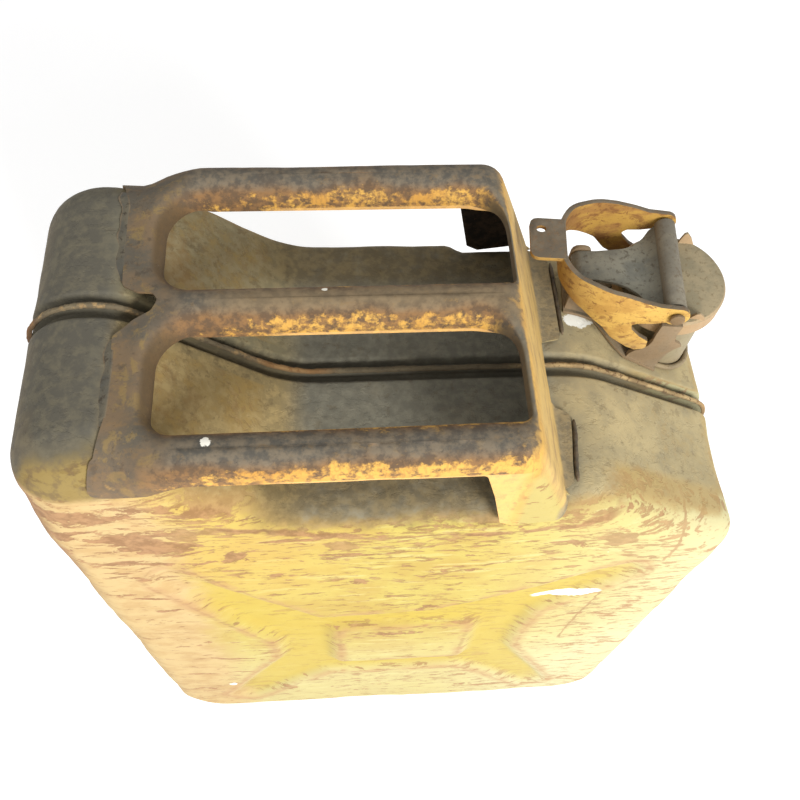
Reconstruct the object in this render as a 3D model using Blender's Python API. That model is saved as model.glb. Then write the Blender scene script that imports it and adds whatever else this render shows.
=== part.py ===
# Pressed-steel jerry can, 20 litres: two half shells welded on a recessed seam,
# a three-bar handle pressed from one sheet, and a hinged cap with a cam lever.
# +Z is up. X runs along the can with the spout end at +X; the cap sits on the +Y half.
# The near shell is the -Y half and the far shell the +Y half. The origin is on the
# ground under the middle of the can. Sizes are in millimetres; meshes are in metres.
import math
import bpy
import bmesh
import numpy as np
from mathutils import Vector, Matrix
from mathutils.geometry import delaunay_2d_cdt

MM = 0.001

# ---------------------------------------------------------------- main sizes
HALF_LEN = 172.5        # half the length of the shell
HALF_WID = 82.5         # half the width of the shell
DECK_Z = 407.5          # flat of the deck under the handle
SHOULDER_Z = 468.0      # top of the raised shoulder
WALL = 1.2              # shell sheet
EDGE_R = 18.0           # rounding from the large faces to the rim band
FLANGE_GAP = 0.15       # half the gap between the two seam flanges
NECK_X, NECK_Y = 140.3, 40.0
TURN = math.radians(-5.5)   # the closure sits slightly askew on the deck
ROUND_STEPS = 40            # sides of the neck, the cap and its inner parts

# color, roughness and metallic share of each surface
LOOKS = {
    "ochre_paint": dict(color=(0.55, 0.36, 0.09), roughness=0.75, metallic=0.0),
    "dirty_olive_paint": dict(color=(0.24, 0.21, 0.13), roughness=0.85, metallic=0.0),
    "worn_handle_paint": dict(color=(0.38, 0.27, 0.12), roughness=0.8, metallic=0.0),
    "rusty_weld": dict(color=(0.35, 0.18, 0.08), roughness=0.9, metallic=0.0),
    "dark_grimy_steel": dict(color=(0.16, 0.14, 0.11), roughness=0.75, metallic=0.3),
    "orange_rust_steel": dict(color=(0.50, 0.27, 0.07), roughness=0.8, metallic=0.1),
    "pin_steel": dict(color=(0.30, 0.25, 0.20), roughness=0.6, metallic=0.6),
    "seal_rubber": dict(color=(0.05, 0.05, 0.05), roughness=0.9, metallic=0.0),
}


def material(name, color, roughness, metallic):
    mat = bpy.data.materials.new(name)
    mat.use_nodes = True
    node = mat.node_tree.nodes["Principled BSDF"]
    node.inputs["Base Color"].default_value = (*color, 1)
    node.inputs["Roughness"].default_value = roughness
    node.inputs["Metallic"].default_value = metallic
    return mat


def clear_scene():
    for obj in list(bpy.data.objects):
        bpy.data.objects.remove(obj, do_unlink=True)


# ---------------------------------------------------------------- plane geometry
def smooth(start, end, x):
    """Smooth step from 0 at start to 1 at end; start may be the larger."""
    share = np.clip((np.asarray(x, float) - start) / (end - start), 0.0, 1.0)
    return share * share * (3 - 2 * share)


def arc(x, y, radius, start, end, steps):
    """Points of an arc from start to end, in degrees."""
    angles = [math.radians(start + (end - start) * i / steps) for i in range(steps + 1)]
    return [(x + radius * math.cos(a), y + radius * math.sin(a)) for a in angles]


def circle(x, y, radius, count, phase=0.0):
    """Closed ring of points, turned by phase steps."""
    angles = [2 * math.pi * (i + phase) / count for i in range(count)]
    return np.array([(x + radius * math.cos(a), y + radius * math.sin(a)) for a in angles])


def fillet(corners, segs, closed=True):
    """Polyline through corners (x, y, radius), each rounded in segs steps."""
    out = []
    count = len(corners)
    for i, (*place, radius) in enumerate(corners):
        corner = np.array(place, float)
        if radius <= 0 or (not closed and i in (0, count - 1)):
            out.append(corner)
            continue
        back = np.array(corners[i - 1][:2], float) - corner
        ahead = np.array(corners[(i + 1) % count][:2], float) - corner
        back /= np.linalg.norm(back)
        ahead /= np.linalg.norm(ahead)
        half = math.acos(max(-1, min(1, float(back @ ahead)))) / 2
        reach = radius / math.tan(half)
        middle = (back + ahead) / np.linalg.norm(back + ahead)
        centre = corner + middle * (radius / math.sin(half))
        start = corner + back * reach - centre
        end = corner + ahead * reach - centre
        first = math.atan2(start[1], start[0])
        turn = math.atan2(start[0] * end[1] - start[1] * end[0], float(start @ end))
        steps = segs[i] if isinstance(segs, (list, tuple)) else segs
        for j in range(steps + 1):
            angle = first + turn * j / steps
            out.append(centre + radius * np.array([math.cos(angle), math.sin(angle)]))
    return np.array(out)


def split_long(loop, step, closed=True):
    """Cuts every side longer than step into equal parts."""
    out = []
    count = len(loop)
    for i in range(count if closed else count - 1):
        start, end = loop[i], loop[(i + 1) % count]
        parts = max(1, int(math.ceil(np.linalg.norm(end - start) / step - 1e-6)))
        for j in range(parts):
            out.append(start + (end - start) * j / parts)
    if not closed:
        out.append(loop[-1])
    return np.array(out)


def normals_of(loop):
    """Outward normals of a counter-clockwise closed loop, mitred."""
    behind = loop - np.roll(loop, 1, 0)
    ahead = np.roll(loop, -1, 0) - loop
    behind /= np.linalg.norm(behind, axis=1)[:, None]
    ahead /= np.linalg.norm(ahead, axis=1)[:, None]
    normal_behind = np.stack([behind[:, 1], -behind[:, 0]], 1)
    normal_ahead = np.stack([ahead[:, 1], -ahead[:, 0]], 1)
    total = normal_behind + normal_ahead
    return total / np.maximum((total * normal_behind).sum(1), 0.3)[:, None]


def inside(loops, pts):
    """Even-odd test of points against loops."""
    hit = np.zeros(len(pts), bool)
    x, y = pts[:, 0], pts[:, 1]
    for loop in loops:
        for (x0, y0), (x1, y1) in zip(loop, np.roll(loop, -1, 0)):
            if y0 == y1:
                continue
            hit ^= ((y0 > y) != (y1 > y)) & (x < (x1 - x0) * (y - y0) / (y1 - y0) + x0)
    return hit


def triangulate(loops, extra=None):
    """Triangles of the region between loops, with extra free points inside it."""
    verts, edges = [], []
    for loop in loops:
        base = len(verts)
        verts += [Vector((float(x), float(y))) for x, y in loop]
        edges += [(base + i, base + (i + 1) % len(loop)) for i in range(len(loop))]
    if extra is not None:
        extra = np.asarray(extra)
        verts += [Vector((float(x), float(y))) for x, y in extra[inside(loops, extra)]]
    got = delaunay_2d_cdt(verts, edges, [], 0, 1e-6)
    pts = np.array([[v[0], v[1]] for v in got[0]])
    tris = np.array([list(f) for f in got[2]])
    tris = tris[inside(loops, pts[tris].mean(1))]
    first = pts[tris[:, 0]]
    area = np.cross(pts[tris[:, 1]] - first, pts[tris[:, 2]] - first)
    tris[area < 0] = tris[area < 0][:, ::-1]
    return pts, tris


# ---------------------------------------------------------------- meshes
def merge(parts):
    """One list of points and one of faces from (points, faces) parts."""
    verts, faces = [], []
    for points, part in parts:
        base = len(verts)
        verts += list(points)
        faces += [[base + i for i in face] for face in part]
    return verts, faces


def lattice(rows, cols, wrap_rows=False, wrap_cols=True):
    """Quads over points stored row by row."""
    faces = []
    for i in range(rows if wrap_rows else rows - 1):
        here, there = i * cols, (i + 1) % rows * cols
        for j in range(cols if wrap_cols else cols - 1):
            k = (j + 1) % cols
            faces.append([here + j, here + k, there + k, there + j])
    return faces


def mesh_object(name, verts, faces, mat, weld=0.02):
    """Object from millimetre points; coincident points become one."""
    bm = bmesh.new()
    made = [bm.verts.new((v[0] * MM, v[1] * MM, v[2] * MM)) for v in verts]
    for face in faces:
        # guards against a face that is already there or uses a point twice
        try:
            bm.faces.new([made[i] for i in face])
        except ValueError:
            pass
    bmesh.ops.remove_doubles(bm, verts=bm.verts, dist=weld * MM)
    bmesh.ops.dissolve_degenerate(bm, edges=bm.edges, dist=1e-7)
    loose = [v for v in bm.verts if not v.link_faces]
    bmesh.ops.delete(bm, geom=loose, context="VERTS")
    mesh = bpy.data.meshes.new(name)
    bm.to_mesh(mesh)
    bm.free()
    mesh.materials.append(mat)
    obj = bpy.data.objects.new(name, mesh)
    bpy.context.scene.collection.objects.link(obj)
    return obj


def face_out(obj, toward=None):
    """Turns all faces outward. On an open sheet, outward is judged at the face
    that lies farthest toward the given direction."""
    bm = bmesh.new()
    bm.from_mesh(obj.data)
    bmesh.ops.recalc_face_normals(bm, faces=bm.faces)
    if toward is None:
        wrong = bm.calc_volume(signed=True) < 0
    else:
        toward = Vector(toward)
        probe = max(bm.faces, key=lambda f: f.calc_center_median().dot(toward))
        wrong = probe.normal.dot(toward) < 0
    if wrong:
        bmesh.ops.reverse_faces(bm, faces=bm.faces)
    bm.to_mesh(obj.data)
    bm.free()
    return obj


def region_sheet(name, loops, top, bottom, mat, extra=None):
    """Closed sheet: a plane region carried onto a top and a bottom surface."""
    pts, tris = triangulate(loops, extra)
    count = len(pts)
    faces = [list(t) for t in tris]
    faces += [[a + count, c + count, b + count] for a, b, c in tris]
    edges = {}      # used in order, so that the rim follows the triangles
    for a, b, c in tris:
        for edge in ((a, b), (b, c), (c, a)):
            edges[edge] = True
    for a, b in edges:
        if (b, a) not in edges:
            faces.append([b, a, a + count, b + count])
    return face_out(mesh_object(name, np.vstack([top(pts), bottom(pts)]), faces, mat))


def level(height, shift=0.0):
    """Surface for region_sheet: an (x, y) region at one height, moved by shift in y."""
    return lambda pts: np.array([[x, y + shift, height] for x, y in pts])


def upright(y_at):
    """Surface for region_sheet: an (x, z) region standing at y_at(z)."""
    return lambda pts: np.array([[x, y_at(z), z] for x, z in pts])


def spin_points(profile):
    """Points of an (r, z) profile turned about the neck's axis.
    A height of None follows the deck, NECK_SINK below it."""
    verts = []
    for i in range(ROUND_STEPS):
        angle = 2 * math.pi * i / ROUND_STEPS
        for radius, z in profile:
            x = NECK_X + radius * math.cos(angle)
            y = NECK_Y + radius * math.sin(angle)
            verts.append([x, y, float(deck_height(x)) - NECK_SINK if z is None else z])
    return verts


def revolve(name, profile, mat):
    """Ring about the neck's axis; profile is a closed (r, z) loop."""
    faces = lattice(ROUND_STEPS, len(profile), wrap_rows=True)
    return face_out(mesh_object(name, spin_points(profile), faces, mat))


def solid_disc(name, profile, mat):
    """Solid about the neck's axis; the open profile starts and ends on the axis."""
    rim = profile[1:-1]
    size = len(rim)
    verts = spin_points(rim)
    low = len(verts)
    verts += [[NECK_X, NECK_Y, profile[0][1]], [NECK_X, NECK_Y, profile[-1][1]]]
    faces = lattice(ROUND_STEPS, size, wrap_rows=True, wrap_cols=False)
    for i in range(ROUND_STEPS):
        j = (i + 1) % ROUND_STEPS
        faces.append([low, j * size, i * size])
        faces.append([low + 1, i * size + size - 1, j * size + size - 1])
    return face_out(mesh_object(name, verts, faces, mat))


def tube_along(name, path, radius, sides, mat, closed=False, bore=0.0):
    """Round bar, or pipe if it has a bore, swept along a path with its ends closed."""
    path = np.asarray(path, float)
    count = len(path)
    radii = [radius] + ([bore] if bore else [])
    verts, faces = [], []
    for size in radii:
        for i in range(count):
            behind = path[i - 1] if closed else path[max(i - 1, 0)]
            ahead = path[(i + 1) % count] if closed else path[min(i + 1, count - 1)]
            along = (ahead - behind) / np.linalg.norm(ahead - behind)
            across = np.cross(along, np.array([0.0, 0.0, 1.0]))
            if np.linalg.norm(across) < 1e-3:       # the path runs straight up or down
                across = np.array([0.0, 1.0, 0.0])
            across /= np.linalg.norm(across)
            normal = np.cross(across, along)
            for k in range(sides):
                angle = 2 * math.pi * k / sides
                offset = math.cos(angle) * across + math.sin(angle) * normal
                verts.append(path[i] + size * offset)

    def at(layer, i, k):
        return layer * count * sides + i % count * sides + k % sides

    for layer in range(len(radii)):
        for i in range(count if closed else count - 1):
            for k in range(sides):
                quad = [at(layer, i, k), at(layer, i, k + 1),
                        at(layer, i + 1, k + 1), at(layer, i + 1, k)]
                faces.append(quad[::-1] if layer == 0 else quad)
    last = count - 1
    if bore:
        for k in range(sides):
            faces.append([at(0, 0, k), at(0, 0, k + 1), at(1, 0, k + 1), at(1, 0, k)])
            faces.append([at(0, last, k + 1), at(0, last, k),
                          at(1, last, k), at(1, last, k + 1)])
    elif not closed:
        faces.append([at(0, 0, k) for k in range(sides)])
        faces.append([at(0, last, k) for k in range(sides)][::-1])
    return face_out(mesh_object(name, verts, faces, mat))


def thicken(obj, thickness):
    mod = obj.modifiers.new("sheet", "SOLIDIFY")
    mod.thickness = thickness * MM
    mod.offset = -1
    mod.use_rim = True
    mod.use_quality_normals = True


def boolean(obj, other, operation):
    mod = obj.modifiers.new(operation.lower(), "BOOLEAN")
    mod.operation = operation
    mod.solver = "EXACT"
    mod.object = other
    other.hide_render = True
    other.display_type = "WIRE"


def askew(obj, pivot=None):
    """Turns a closure piece, built square, to the closure's own heading, and puts
    its origin on pivot (given as built square)."""
    neck = Matrix.Translation((NECK_X * MM, NECK_Y * MM, 0))
    back = Matrix.Translation((-NECK_X * MM, -NECK_Y * MM, 0))
    move = neck @ Matrix.Rotation(TURN, 4, "Z") @ back
    obj.data.transform(move)
    if pivot is not None:
        place = move @ Vector([c * MM for c in pivot])
        obj.data.transform(Matrix.Translation(-place))
        obj.location = place
    obj.data.update()


def join_askew(body, part):
    """Adds a part, built square, to a closure piece."""
    askew(part)
    boolean(body, part, "UNION")


# ---------------------------------------------------------------- shell
# side view: x, z, corner radius
OUTLINE = [
    (-HALF_LEN, 0, 45), (HALF_LEN, 0, 45), (HALF_LEN, 360, 20), (91, DECK_Z, 60),
    (-58, DECK_Z, 45), (-128, SHOULDER_Z, 27), (-HALF_LEN, SHOULDER_Z, 31),
]
OUTLINE_SEGS = (6, 6, 4, 4, 4, 6, 8)
DECK_SEGS = (24, 24, 16, 12, 12, 12, 16)    # finer, for reading heights off the top
DECK_TABLE_Z = 345                          # the table holds the outline above this
RECESS_CUTS = (26.5, 39.0)      # x added on the far half's top, where its rounding changes
# from the seam flange out to the rim band: inset, share of the seam's sink, y
RIM = [
    (1.0, 1, WALL + FLANGE_GAP), (3.8, 1, WALL + FLANGE_GAP), (4.8, 1, 2.5), (4.3, 1, 4.2),
    (2.2, 0.6, 6.0), (0.5, 0.2, 7.6), (0, 0, 9.5),
]
EDGE_ANGLES = (0, 22.5, 45, 67.5, 90)
SEAM_SINK = 2.2         # extra depth of the seam along the bottom
EMBOSS = 5.0            # depth of the pressed channels
EMBOSS_SLOPE = 6.0      # plan width of a channel's sloping wall
CHANNEL_SEGS = 2
# outer edge of the pressed channels: x, z
CHANNEL = [
    (-49, 256), (-70, 283), (-123, 357), (-135, 338), (-115, 288), (-94, 238), (-78, 205),
    (-78, 165), (-92, 135), (-112, 88), (-128, 48), (-108, 34), (-72, 86), (-47, 113),
    (47, 113), (72, 86), (108, 34), (128, 48), (112, 88), (92, 135), (80, 165),
    (80, 205), (84, 250), (97, 273), (114, 292), (134, 318), (125, 337), (106, 324),
    (56, 286), (20, 260),
]
CHANNEL_R = 6
# raised box in the middle of the channels: x, z, corner radius
CHANNEL_BOX = [(-41, 139, 8), (48, 139, 8), (48, 230, 8), (-41, 230, 8)]
# weld bead section: y, depth below the outline
BEAD_SECTION = [(-1.7, 0.7), (1.7, 0.7), (1.8, 0.0), (0.9, -0.7), (-0.9, -0.7), (-1.8, 0.0)]
BEAD_STEP = 60.0
BEAD_END_RISE = 1.1     # extra height of the bead on the two ends of the can


def outline(segs=OUTLINE_SEGS, step=400.0):
    """Side view of the shell; the default step is too long to cut any side."""
    return split_long(fillet(OUTLINE, segs), step)


def deck_table():
    loop = outline(DECK_SEGS, 5.0)
    top = loop[loop[:, 1] > DECK_TABLE_Z]
    return top[np.argsort(top[:, 0], kind="stable")]


DECK = deck_table()


def deck_height(x):
    """Height of the top of the shell above x, on the flat of the rim band."""
    return np.interp(x, DECK[:, 0], DECK[:, 1])


def deck_under(x, off):
    """Deck height under a point of the closure's own frame, off from its middle line."""
    across = np.asarray(off) * math.sin(TURN)
    return deck_height(NECK_X + (np.asarray(x) - NECK_X) * math.cos(TURN) - across)


def seam_sink(loop):
    """The seam sits deeper along the bottom so that the can rests on its shells."""
    normals = normals_of(loop)
    down = -normals[:, 1] / np.linalg.norm(normals, axis=1)
    return SEAM_SINK * smooth(0.3, 0.95, down)


def edge_radius(loop, side):
    """The rounding of the long edges opens out round the raised shoulder, and is
    tight along the recess on the far half."""
    x, z = loop[:, 0], loop[:, 1]
    radius = EDGE_R + 7.0 * smooth(395, 435, z) * smooth(-88, -118, x)
    if side > 0:
        recess = smooth(370, 395, z) * smooth(-124, -92, x) * smooth(38.5, 27, x)
        radius = radius - 10.0 * recess
    return radius


def cut_top(loop, stations):
    """The outline with points added on its top line at the given x."""
    out = []
    for start, end in zip(loop, np.roll(loop, -1, 0)):
        out.append(start)
        low, high = sorted((start[0], end[0]))
        on_top = min(start[1], end[1]) > 380
        cuts = [x for x in stations if on_top and low + 1 < x < high - 1]
        for x in sorted(cuts, key=lambda cut: abs(cut - start[0])):
            out.append(start + (end - start) * (x - start[0]) / (end[0] - start[0]))
    return np.array(out)


def rim_part(loop, side):
    """The band from the seam flange round to the large face."""
    normals = normals_of(loop)
    sink = seam_sink(loop)
    radius = edge_radius(loop, side)
    rings = [(inset + share * sink, y) for inset, share, y in RIM]
    for angle in map(math.radians, EDGE_ANGLES):
        rings.append((radius * (1 - math.cos(angle)),
                      HALF_WID - radius + radius * math.sin(angle)))
    verts = []
    for inset, ys in rings:
        ring = loop - normals * inset[:, None]
        verts += [[x, side * y, z] for (x, z), y in zip(ring, np.broadcast_to(ys, len(loop)))]
    return verts, lattice(len(rings), len(loop))


def face_parts(edge, side):
    """The large face inside edge, with its pressed channels."""
    # rounded clockwise, then turned to run counter-clockwise
    outer = fillet([(x, z, CHANNEL_R) for x, z in CHANNEL[::-1]], CHANNEL_SEGS)[::-1]
    box = fillet(CHANNEL_BOX, CHANNEL_SEGS)
    low_outer = outer - normals_of(outer) * EMBOSS_SLOPE
    low_box = box + normals_of(box) * EMBOSS_SLOPE
    floor_points = np.vstack([low_outer, low_box])
    parts = []
    for loops in ([edge, outer], [outer, low_outer], [low_outer, low_box], [low_box, box], [box]):
        pts, tris = triangulate(loops)
        gaps = np.linalg.norm(pts[:, None, :] - floor_points[None], axis=2)
        low = np.min(gaps, axis=1) < 1e-3
        verts = [[x, side * (HALF_WID - (EMBOSS if sunk else 0)), z]
                 for (x, z), sunk in zip(pts, low)]
        parts.append((verts, tris))
    return parts


def build_half(name, side, mat):
    """One half shell; side is -1 for the -Y half and 1 for the +Y half."""
    loop = outline()
    if side > 0:
        loop = cut_top(loop, RECESS_CUTS)
    edge = loop - normals_of(loop) * edge_radius(loop, side)[:, None]
    obj = mesh_object(name, *merge([rim_part(loop, side)] + face_parts(edge, side)), mat)
    face_out(obj, (0, side, 0))
    thicken(obj, WALL)
    return obj


def cut_neck_hole(shell, mat):
    hole = circle(NECK_X, NECK_Y, NECK_HOLE_R, ROUND_STEPS, NECK_HOLE_PHASE)
    cutter = region_sheet("neck_hole_cutter", [hole], level(440.0), level(335.0), mat)
    boolean(shell, cutter, "DIFFERENCE")


def build_bead(mat):
    """Weld bead in the seam groove, all round the can."""
    loop = outline(step=BEAD_STEP)
    normals = normals_of(loop)
    sink = seam_sink(loop)
    rise = BEAD_END_RISE * smooth(0.7, 1.0, np.abs(normals[:, 0]))
    verts = []
    for y, depth in BEAD_SECTION:
        inset = depth + sink - (rise if depth < 0.5 else 0)
        verts += [[x, y, z] for x, z in loop - normals * inset[:, None]]
    faces = lattice(len(BEAD_SECTION), len(loop), wrap_rows=True)
    face_out(mesh_object("seam_weld_bead", verts, faces, mat))


# ---------------------------------------------------------------- handle
# A "run" is a distance along the handle's middle sheet, equal to x on its flat top.
HANDLE_Z = 470.0        # top of the handle bars
HANDLE_T = 1.5          # handle sheet
BAR_R = 10.0            # crown radius of a bar
BAR_DEPTH = 15.0        # height of a bar's side
CROWN_Y = HALF_WID - BAR_R                  # where the outer bars start to roll down
BEND_RUN, BEND_R = 40.0, 12.0               # bend from the top into the leg at +X
LEG_ANGLE = math.radians(69.0)
LEG_END_Z = 411.87
FOOT_R = 4.0            # bend from the leg into the foot flange
ARC_LEN = BEND_R * LEG_ANGLE
LEG_TOP_Z = HANDLE_Z - BEND_R * (1 - math.cos(LEG_ANGLE))
LEG_LEN = (LEG_TOP_Z - LEG_END_Z) / math.sin(LEG_ANGLE)
LEG_END_RUN = BEND_RUN + ARC_LEN + LEG_LEN
FOOT_FLAT_RUN = LEG_END_RUN + FOOT_R * LEG_ANGLE
SIDE_END_RUN = LEG_END_RUN + 4.0
WRAP_R, WRAP_Y = 27.2, 57.5     # the pressing's -X end wraps the shoulder's rounding
WRAP_START = math.asin((CROWN_Y - WRAP_Y) / WRAP_R)
WRAP_END = math.radians(66)
# quarter roll of a bar: distance in from the edge, depth below the top
ROLL = [(BAR_R, 0.0), (5.0, 1.34), (1.34, 5.0), (0.0, BAR_R)]
# for each line of ROLL on an outer side: run at its -X end, reach past SIDE_END_RUN
SIDE_ENDS = [(-131.5, 0), (-133.5, 3.0), (-135.0, 4.0), (-135.5, 3.0)]
# x0, x1, y0, y1 of each window, and its corner radii from the (x0, y0) corner
# round counter-clockwise in plan
WINDOWS = [
    (-111.0, 47.5, -62.0, -10.25, (10, 5, 20, 20)),
    (-111.0, 51.5, 10.25, 62.0, (14, 5, 22, 20)),
]
WINDOW_SEGS = 5
BEND_STATIONS = [40, 44.8, 49.6, 54.45]
STATIONS = [-119, -112, -106, -98, -80, -40, 0, 30] + BEND_STATIONS + [75, 95]   # runs
# y of the points along the +X end
FOOT_YS = [-CROWN_Y, -69, -66, -50, -31, -27, -23, 0, 10, 13, 16, 40, 62, 66, 69, CROWN_Y]
# bottom edge of a side plate, from -X to +X: x, z
HANDLE_LOW = [
    (-135.2, 449.8), (-132.8, 448.0), (-126.0, 447.3), (-112.0, 448.0), (-104.0, 452.0),
    (-97.0, 455.6), (27.3, 456.3), (33.2, 434.0), (38.4, 409.0), (39.6, 403.0), (46.0, 399.0),
]
# -X edge of the middle sheet, from -Y to +Y: run, y
HANDLE_END = [
    (-131.5, -CROWN_Y), (-130.0, -66), (-127.8, -56), (-127.5, -30), (-128.5, -15),
    (-121, -9), (-113, -5), (-110.5, 0.5), (-113, 4.8), (-121, 6.5), (-126.5, 10.5),
    (-127.5, 30), (-127.5, 56), (-130.0, 66), (-131.5, CROWN_Y),
]


def bend_angle(run):
    """How far the sheet has turned down at the bend into the leg."""
    return np.clip((run - BEND_RUN) / BEND_R, 0, LEG_ANGLE)


def handle_path(run, foot=True):
    """x and z of the outer surface of the handle's middle sheet. Without its foot,
    the leg runs straight on."""
    run = np.asarray(run, float)
    bend = bend_angle(run)
    top = HANDLE_Z - 1.2 * smooth(-108, -126, run) + 1.0 * smooth(-129, -135, run)
    leg = np.clip(run - BEND_RUN - ARC_LEN, 0, LEG_LEN if foot else np.inf)
    x = np.minimum(run, BEND_RUN) + BEND_R * np.sin(bend) + leg * math.cos(LEG_ANGLE)
    z = top - BEND_R * (1 - np.cos(bend)) - leg * math.sin(LEG_ANGLE)
    if foot:
        slope = LEG_ANGLE - np.clip((run - LEG_END_RUN) / FOOT_R, 0, LEG_ANGLE)
        x = x + FOOT_R * (math.sin(LEG_ANGLE) - np.sin(slope))
        z = z - FOOT_R * (np.cos(slope) - math.cos(LEG_ANGLE))
        x = x + np.maximum(run - FOOT_FLAT_RUN, 0)
    return x, z


def foot_reach(y):
    """How far the flat of the foot flange runs past its bend."""
    return np.where(np.asarray(y) > 0, 7.0, 2.0 + 3.0 * smooth(-66, -32, y))


def foot_width(y):
    """Length of the foot flange past the leg, zero over the seam groove."""
    far = smooth(11, 15, y) * (1 - smooth(66, 71, y))
    near = smooth(24, 30, -y) * (1 - smooth(66, 71, -y))
    return (FOOT_FLAT_RUN - LEG_END_RUN + foot_reach(y)) * np.maximum(far, near)


def wrap_share(run):
    """0 along the bars, 1 where the pressing wraps the shoulder."""
    return smooth(-94, -124, run)


def wrap_drop(run, y):
    """How far the middle sheet falls towards its sides at the shoulder end."""
    out = np.clip(np.abs(y) - WRAP_Y, 0, 20)
    return wrap_share(run) * (WRAP_R - np.sqrt(WRAP_R ** 2 - out ** 2))


def side_y(x, z):
    """Distance of a side plate from the middle plane of the can."""
    wrap = wrap_share(x)
    wrapped = wrap * (WRAP_Y + WRAP_R * math.sin(WRAP_END))
    return (1 - wrap) * HALF_WID + wrapped + wrap * 0.15 * np.clip(452.0 - z, 0, 5)


def window_loop(window, grow):
    """Plan of a window grown outward; its +X end grows half as much."""
    x0, x1, y0, y1, radii = window
    x0, x1, y0, y1 = x0 - grow, x1 + 0.5 * grow, y0 - grow, y1 + grow
    corners = [
        (x0, y0, radii[0] + grow), (x1, y0, radii[1] + 0.7 * grow),
        (x1, y1, radii[2] + 0.8 * grow), (x0, y1, radii[3] + grow),
    ]
    return fillet(corners, WINDOW_SEGS)


def window_ring(window, grow, depth):
    """One ring of a window's rolled rim; the rim is shallower along the leg."""
    run, y = window_loop(window, grow).T
    x, z = handle_path(run)
    share = 1 - 0.45 * smooth(window[1] - 16, window[1], run)
    below_roll = max(depth - BAR_R, 0) / (BAR_DEPTH - BAR_R)
    share = share * (1 - 0.2 * below_roll * smooth(-88, -100, run))
    return np.stack([x, y, z - wrap_drop(run, y) - depth * share], 1)


def side_strip(index, side):
    """One line along the outer side of the pressing, for one line of ROLL."""
    inset, depth = ROLL[index]
    start, reach = SIDE_ENDS[index]
    run = np.array([start] + STATIONS + [SIDE_END_RUN + reach])
    x, z = handle_path(run, foot=False)
    bend = bend_angle(run)
    wrap = wrap_share(run)
    angle = WRAP_START + (WRAP_END - WRAP_START) * index / (len(ROLL) - 1)
    y = (1 - wrap) * (HALF_WID - inset) + wrap * (WRAP_Y + WRAP_R * math.sin(angle))
    down = (1 - wrap) * depth + wrap * WRAP_R * (1 - math.cos(angle))
    return np.stack([x - np.sin(bend) * down, side * y, z - np.cos(bend) * down], 1)


def middle_part():
    """The middle sheet: bar tops, leg and foot flange."""
    end = [(LEG_END_RUN + float(foot_width(y)) if abs(y) < 71.5 else SIDE_END_RUN, y)
           for y in FOOT_YS]
    outer = [(run, -CROWN_Y) for run in STATIONS] + end
    outer += [(run, CROWN_Y) for run in STATIONS[::-1]] + HANDLE_END[::-1]
    loops = [np.array(outer, float)] + [window_loop(window, BAR_R) for window in WINDOWS]
    foot_runs = [LEG_END_RUN, (LEG_END_RUN + FOOT_FLAT_RUN) / 2, FOOT_FLAT_RUN]
    grid = [(run, y) for run in BEND_STATIONS + foot_runs
            for y in (-60, -45, -28, -10, 0, 12, 28, 45, 60)]
    grid += [(-124, y) for y in (-66, -60, -40, -20, 20, 40, 60, 66)]
    pts, tris = triangulate(loops, grid)
    run, y = pts.T
    x, z = handle_path(run)
    return np.stack([x, y, z - wrap_drop(run, y)], 1), tris


def window_part(window):
    """Rim rolled down round a window."""
    rings = [window_ring(window, *line) for line in ROLL + [(0.0, BAR_DEPTH)]]
    size = len(rings[0])
    faces = []
    for k in range(len(rings) - 1):
        here, there = k * size, (k + 1) * size
        for i in range(size):
            j = (i + 1) % size
            faces.append([here + j, here + i, there + i, there + j])
    return np.vstack(rings), faces


def side_parts(side):
    """Rolled crown and flat plate of one outer side."""
    strips = [side_strip(index, side) for index in range(len(ROLL))]
    size = len(strips[0])
    order = 1 if side < 0 else -1
    faces = []
    for k in range(len(strips) - 1):
        here, there = k * size, (k + 1) * size
        for i in range(size - 1):
            faces.append([here + i, there + i, there + i + 1, here + i + 1][::order])
    plate = np.vstack([strips[-1][::-1][:, [0, 2]], HANDLE_LOW])
    pts, tris = triangulate([plate])
    verts = [[x, side * float(side_y(x, z)), z] for x, z in pts]
    return [(np.vstack(strips), faces), (verts, tris[:, ::order])]


def build_handle(mat):
    parts = [middle_part()] + [window_part(window) for window in WINDOWS]
    parts += side_parts(-1) + side_parts(1)
    obj = mesh_object("handle_pressing", *merge(parts), mat, weld=0.05)
    face_out(obj, (0, 0, 1))
    thicken(obj, HANDLE_T)


def build_handle_welds(mat):
    """Beads along the foot flange's outer edge and on the shoulder."""
    lift, points = 1.6, 6

    def bead(name, radius, y0, y1, x_at):
        path = [(x_at(y), y, float(deck_height(x_at(y))) + lift)
                for y in np.linspace(y0, y1, points)]
        tube_along(name, path, radius, 6, mat)

    def foot_x(y):
        return float(handle_path(FOOT_FLAT_RUN + foot_reach(y))[0]) + 1.7

    bead("foot_weld_near", 1.3, -66.0, -32.0, foot_x)
    bead("foot_weld_far", 1.3, 17.0, 64.0, foot_x)
    bead("shoulder_weld_near", 1.2, -54.0, -20.0, lambda y: -129.9)
    bead("shoulder_weld_far", 1.2, 20.0, 54.0, lambda y: -129.9)


# ---------------------------------------------------------------- neck
NECK_SINK = 4.0             # how far the neck reaches below the deck
NECK_HOLE_R = 24.35
NECK_HOLE_PHASE = 0.37      # keeps the hole's corners off the neck's
NECK_WELD_R = 25.9          # radius of the bead's middle line
# r, z; None follows the deck
NECK_PROFILE = [
    (22.6, 415.2), (23.8, 416.9), (25.0, 416.9), (25.8, 415.4), (25.8, 412.8),
    (25.0, 411.4), (24.0, 411.2), (24.0, None), (22.6, None),
]
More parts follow.
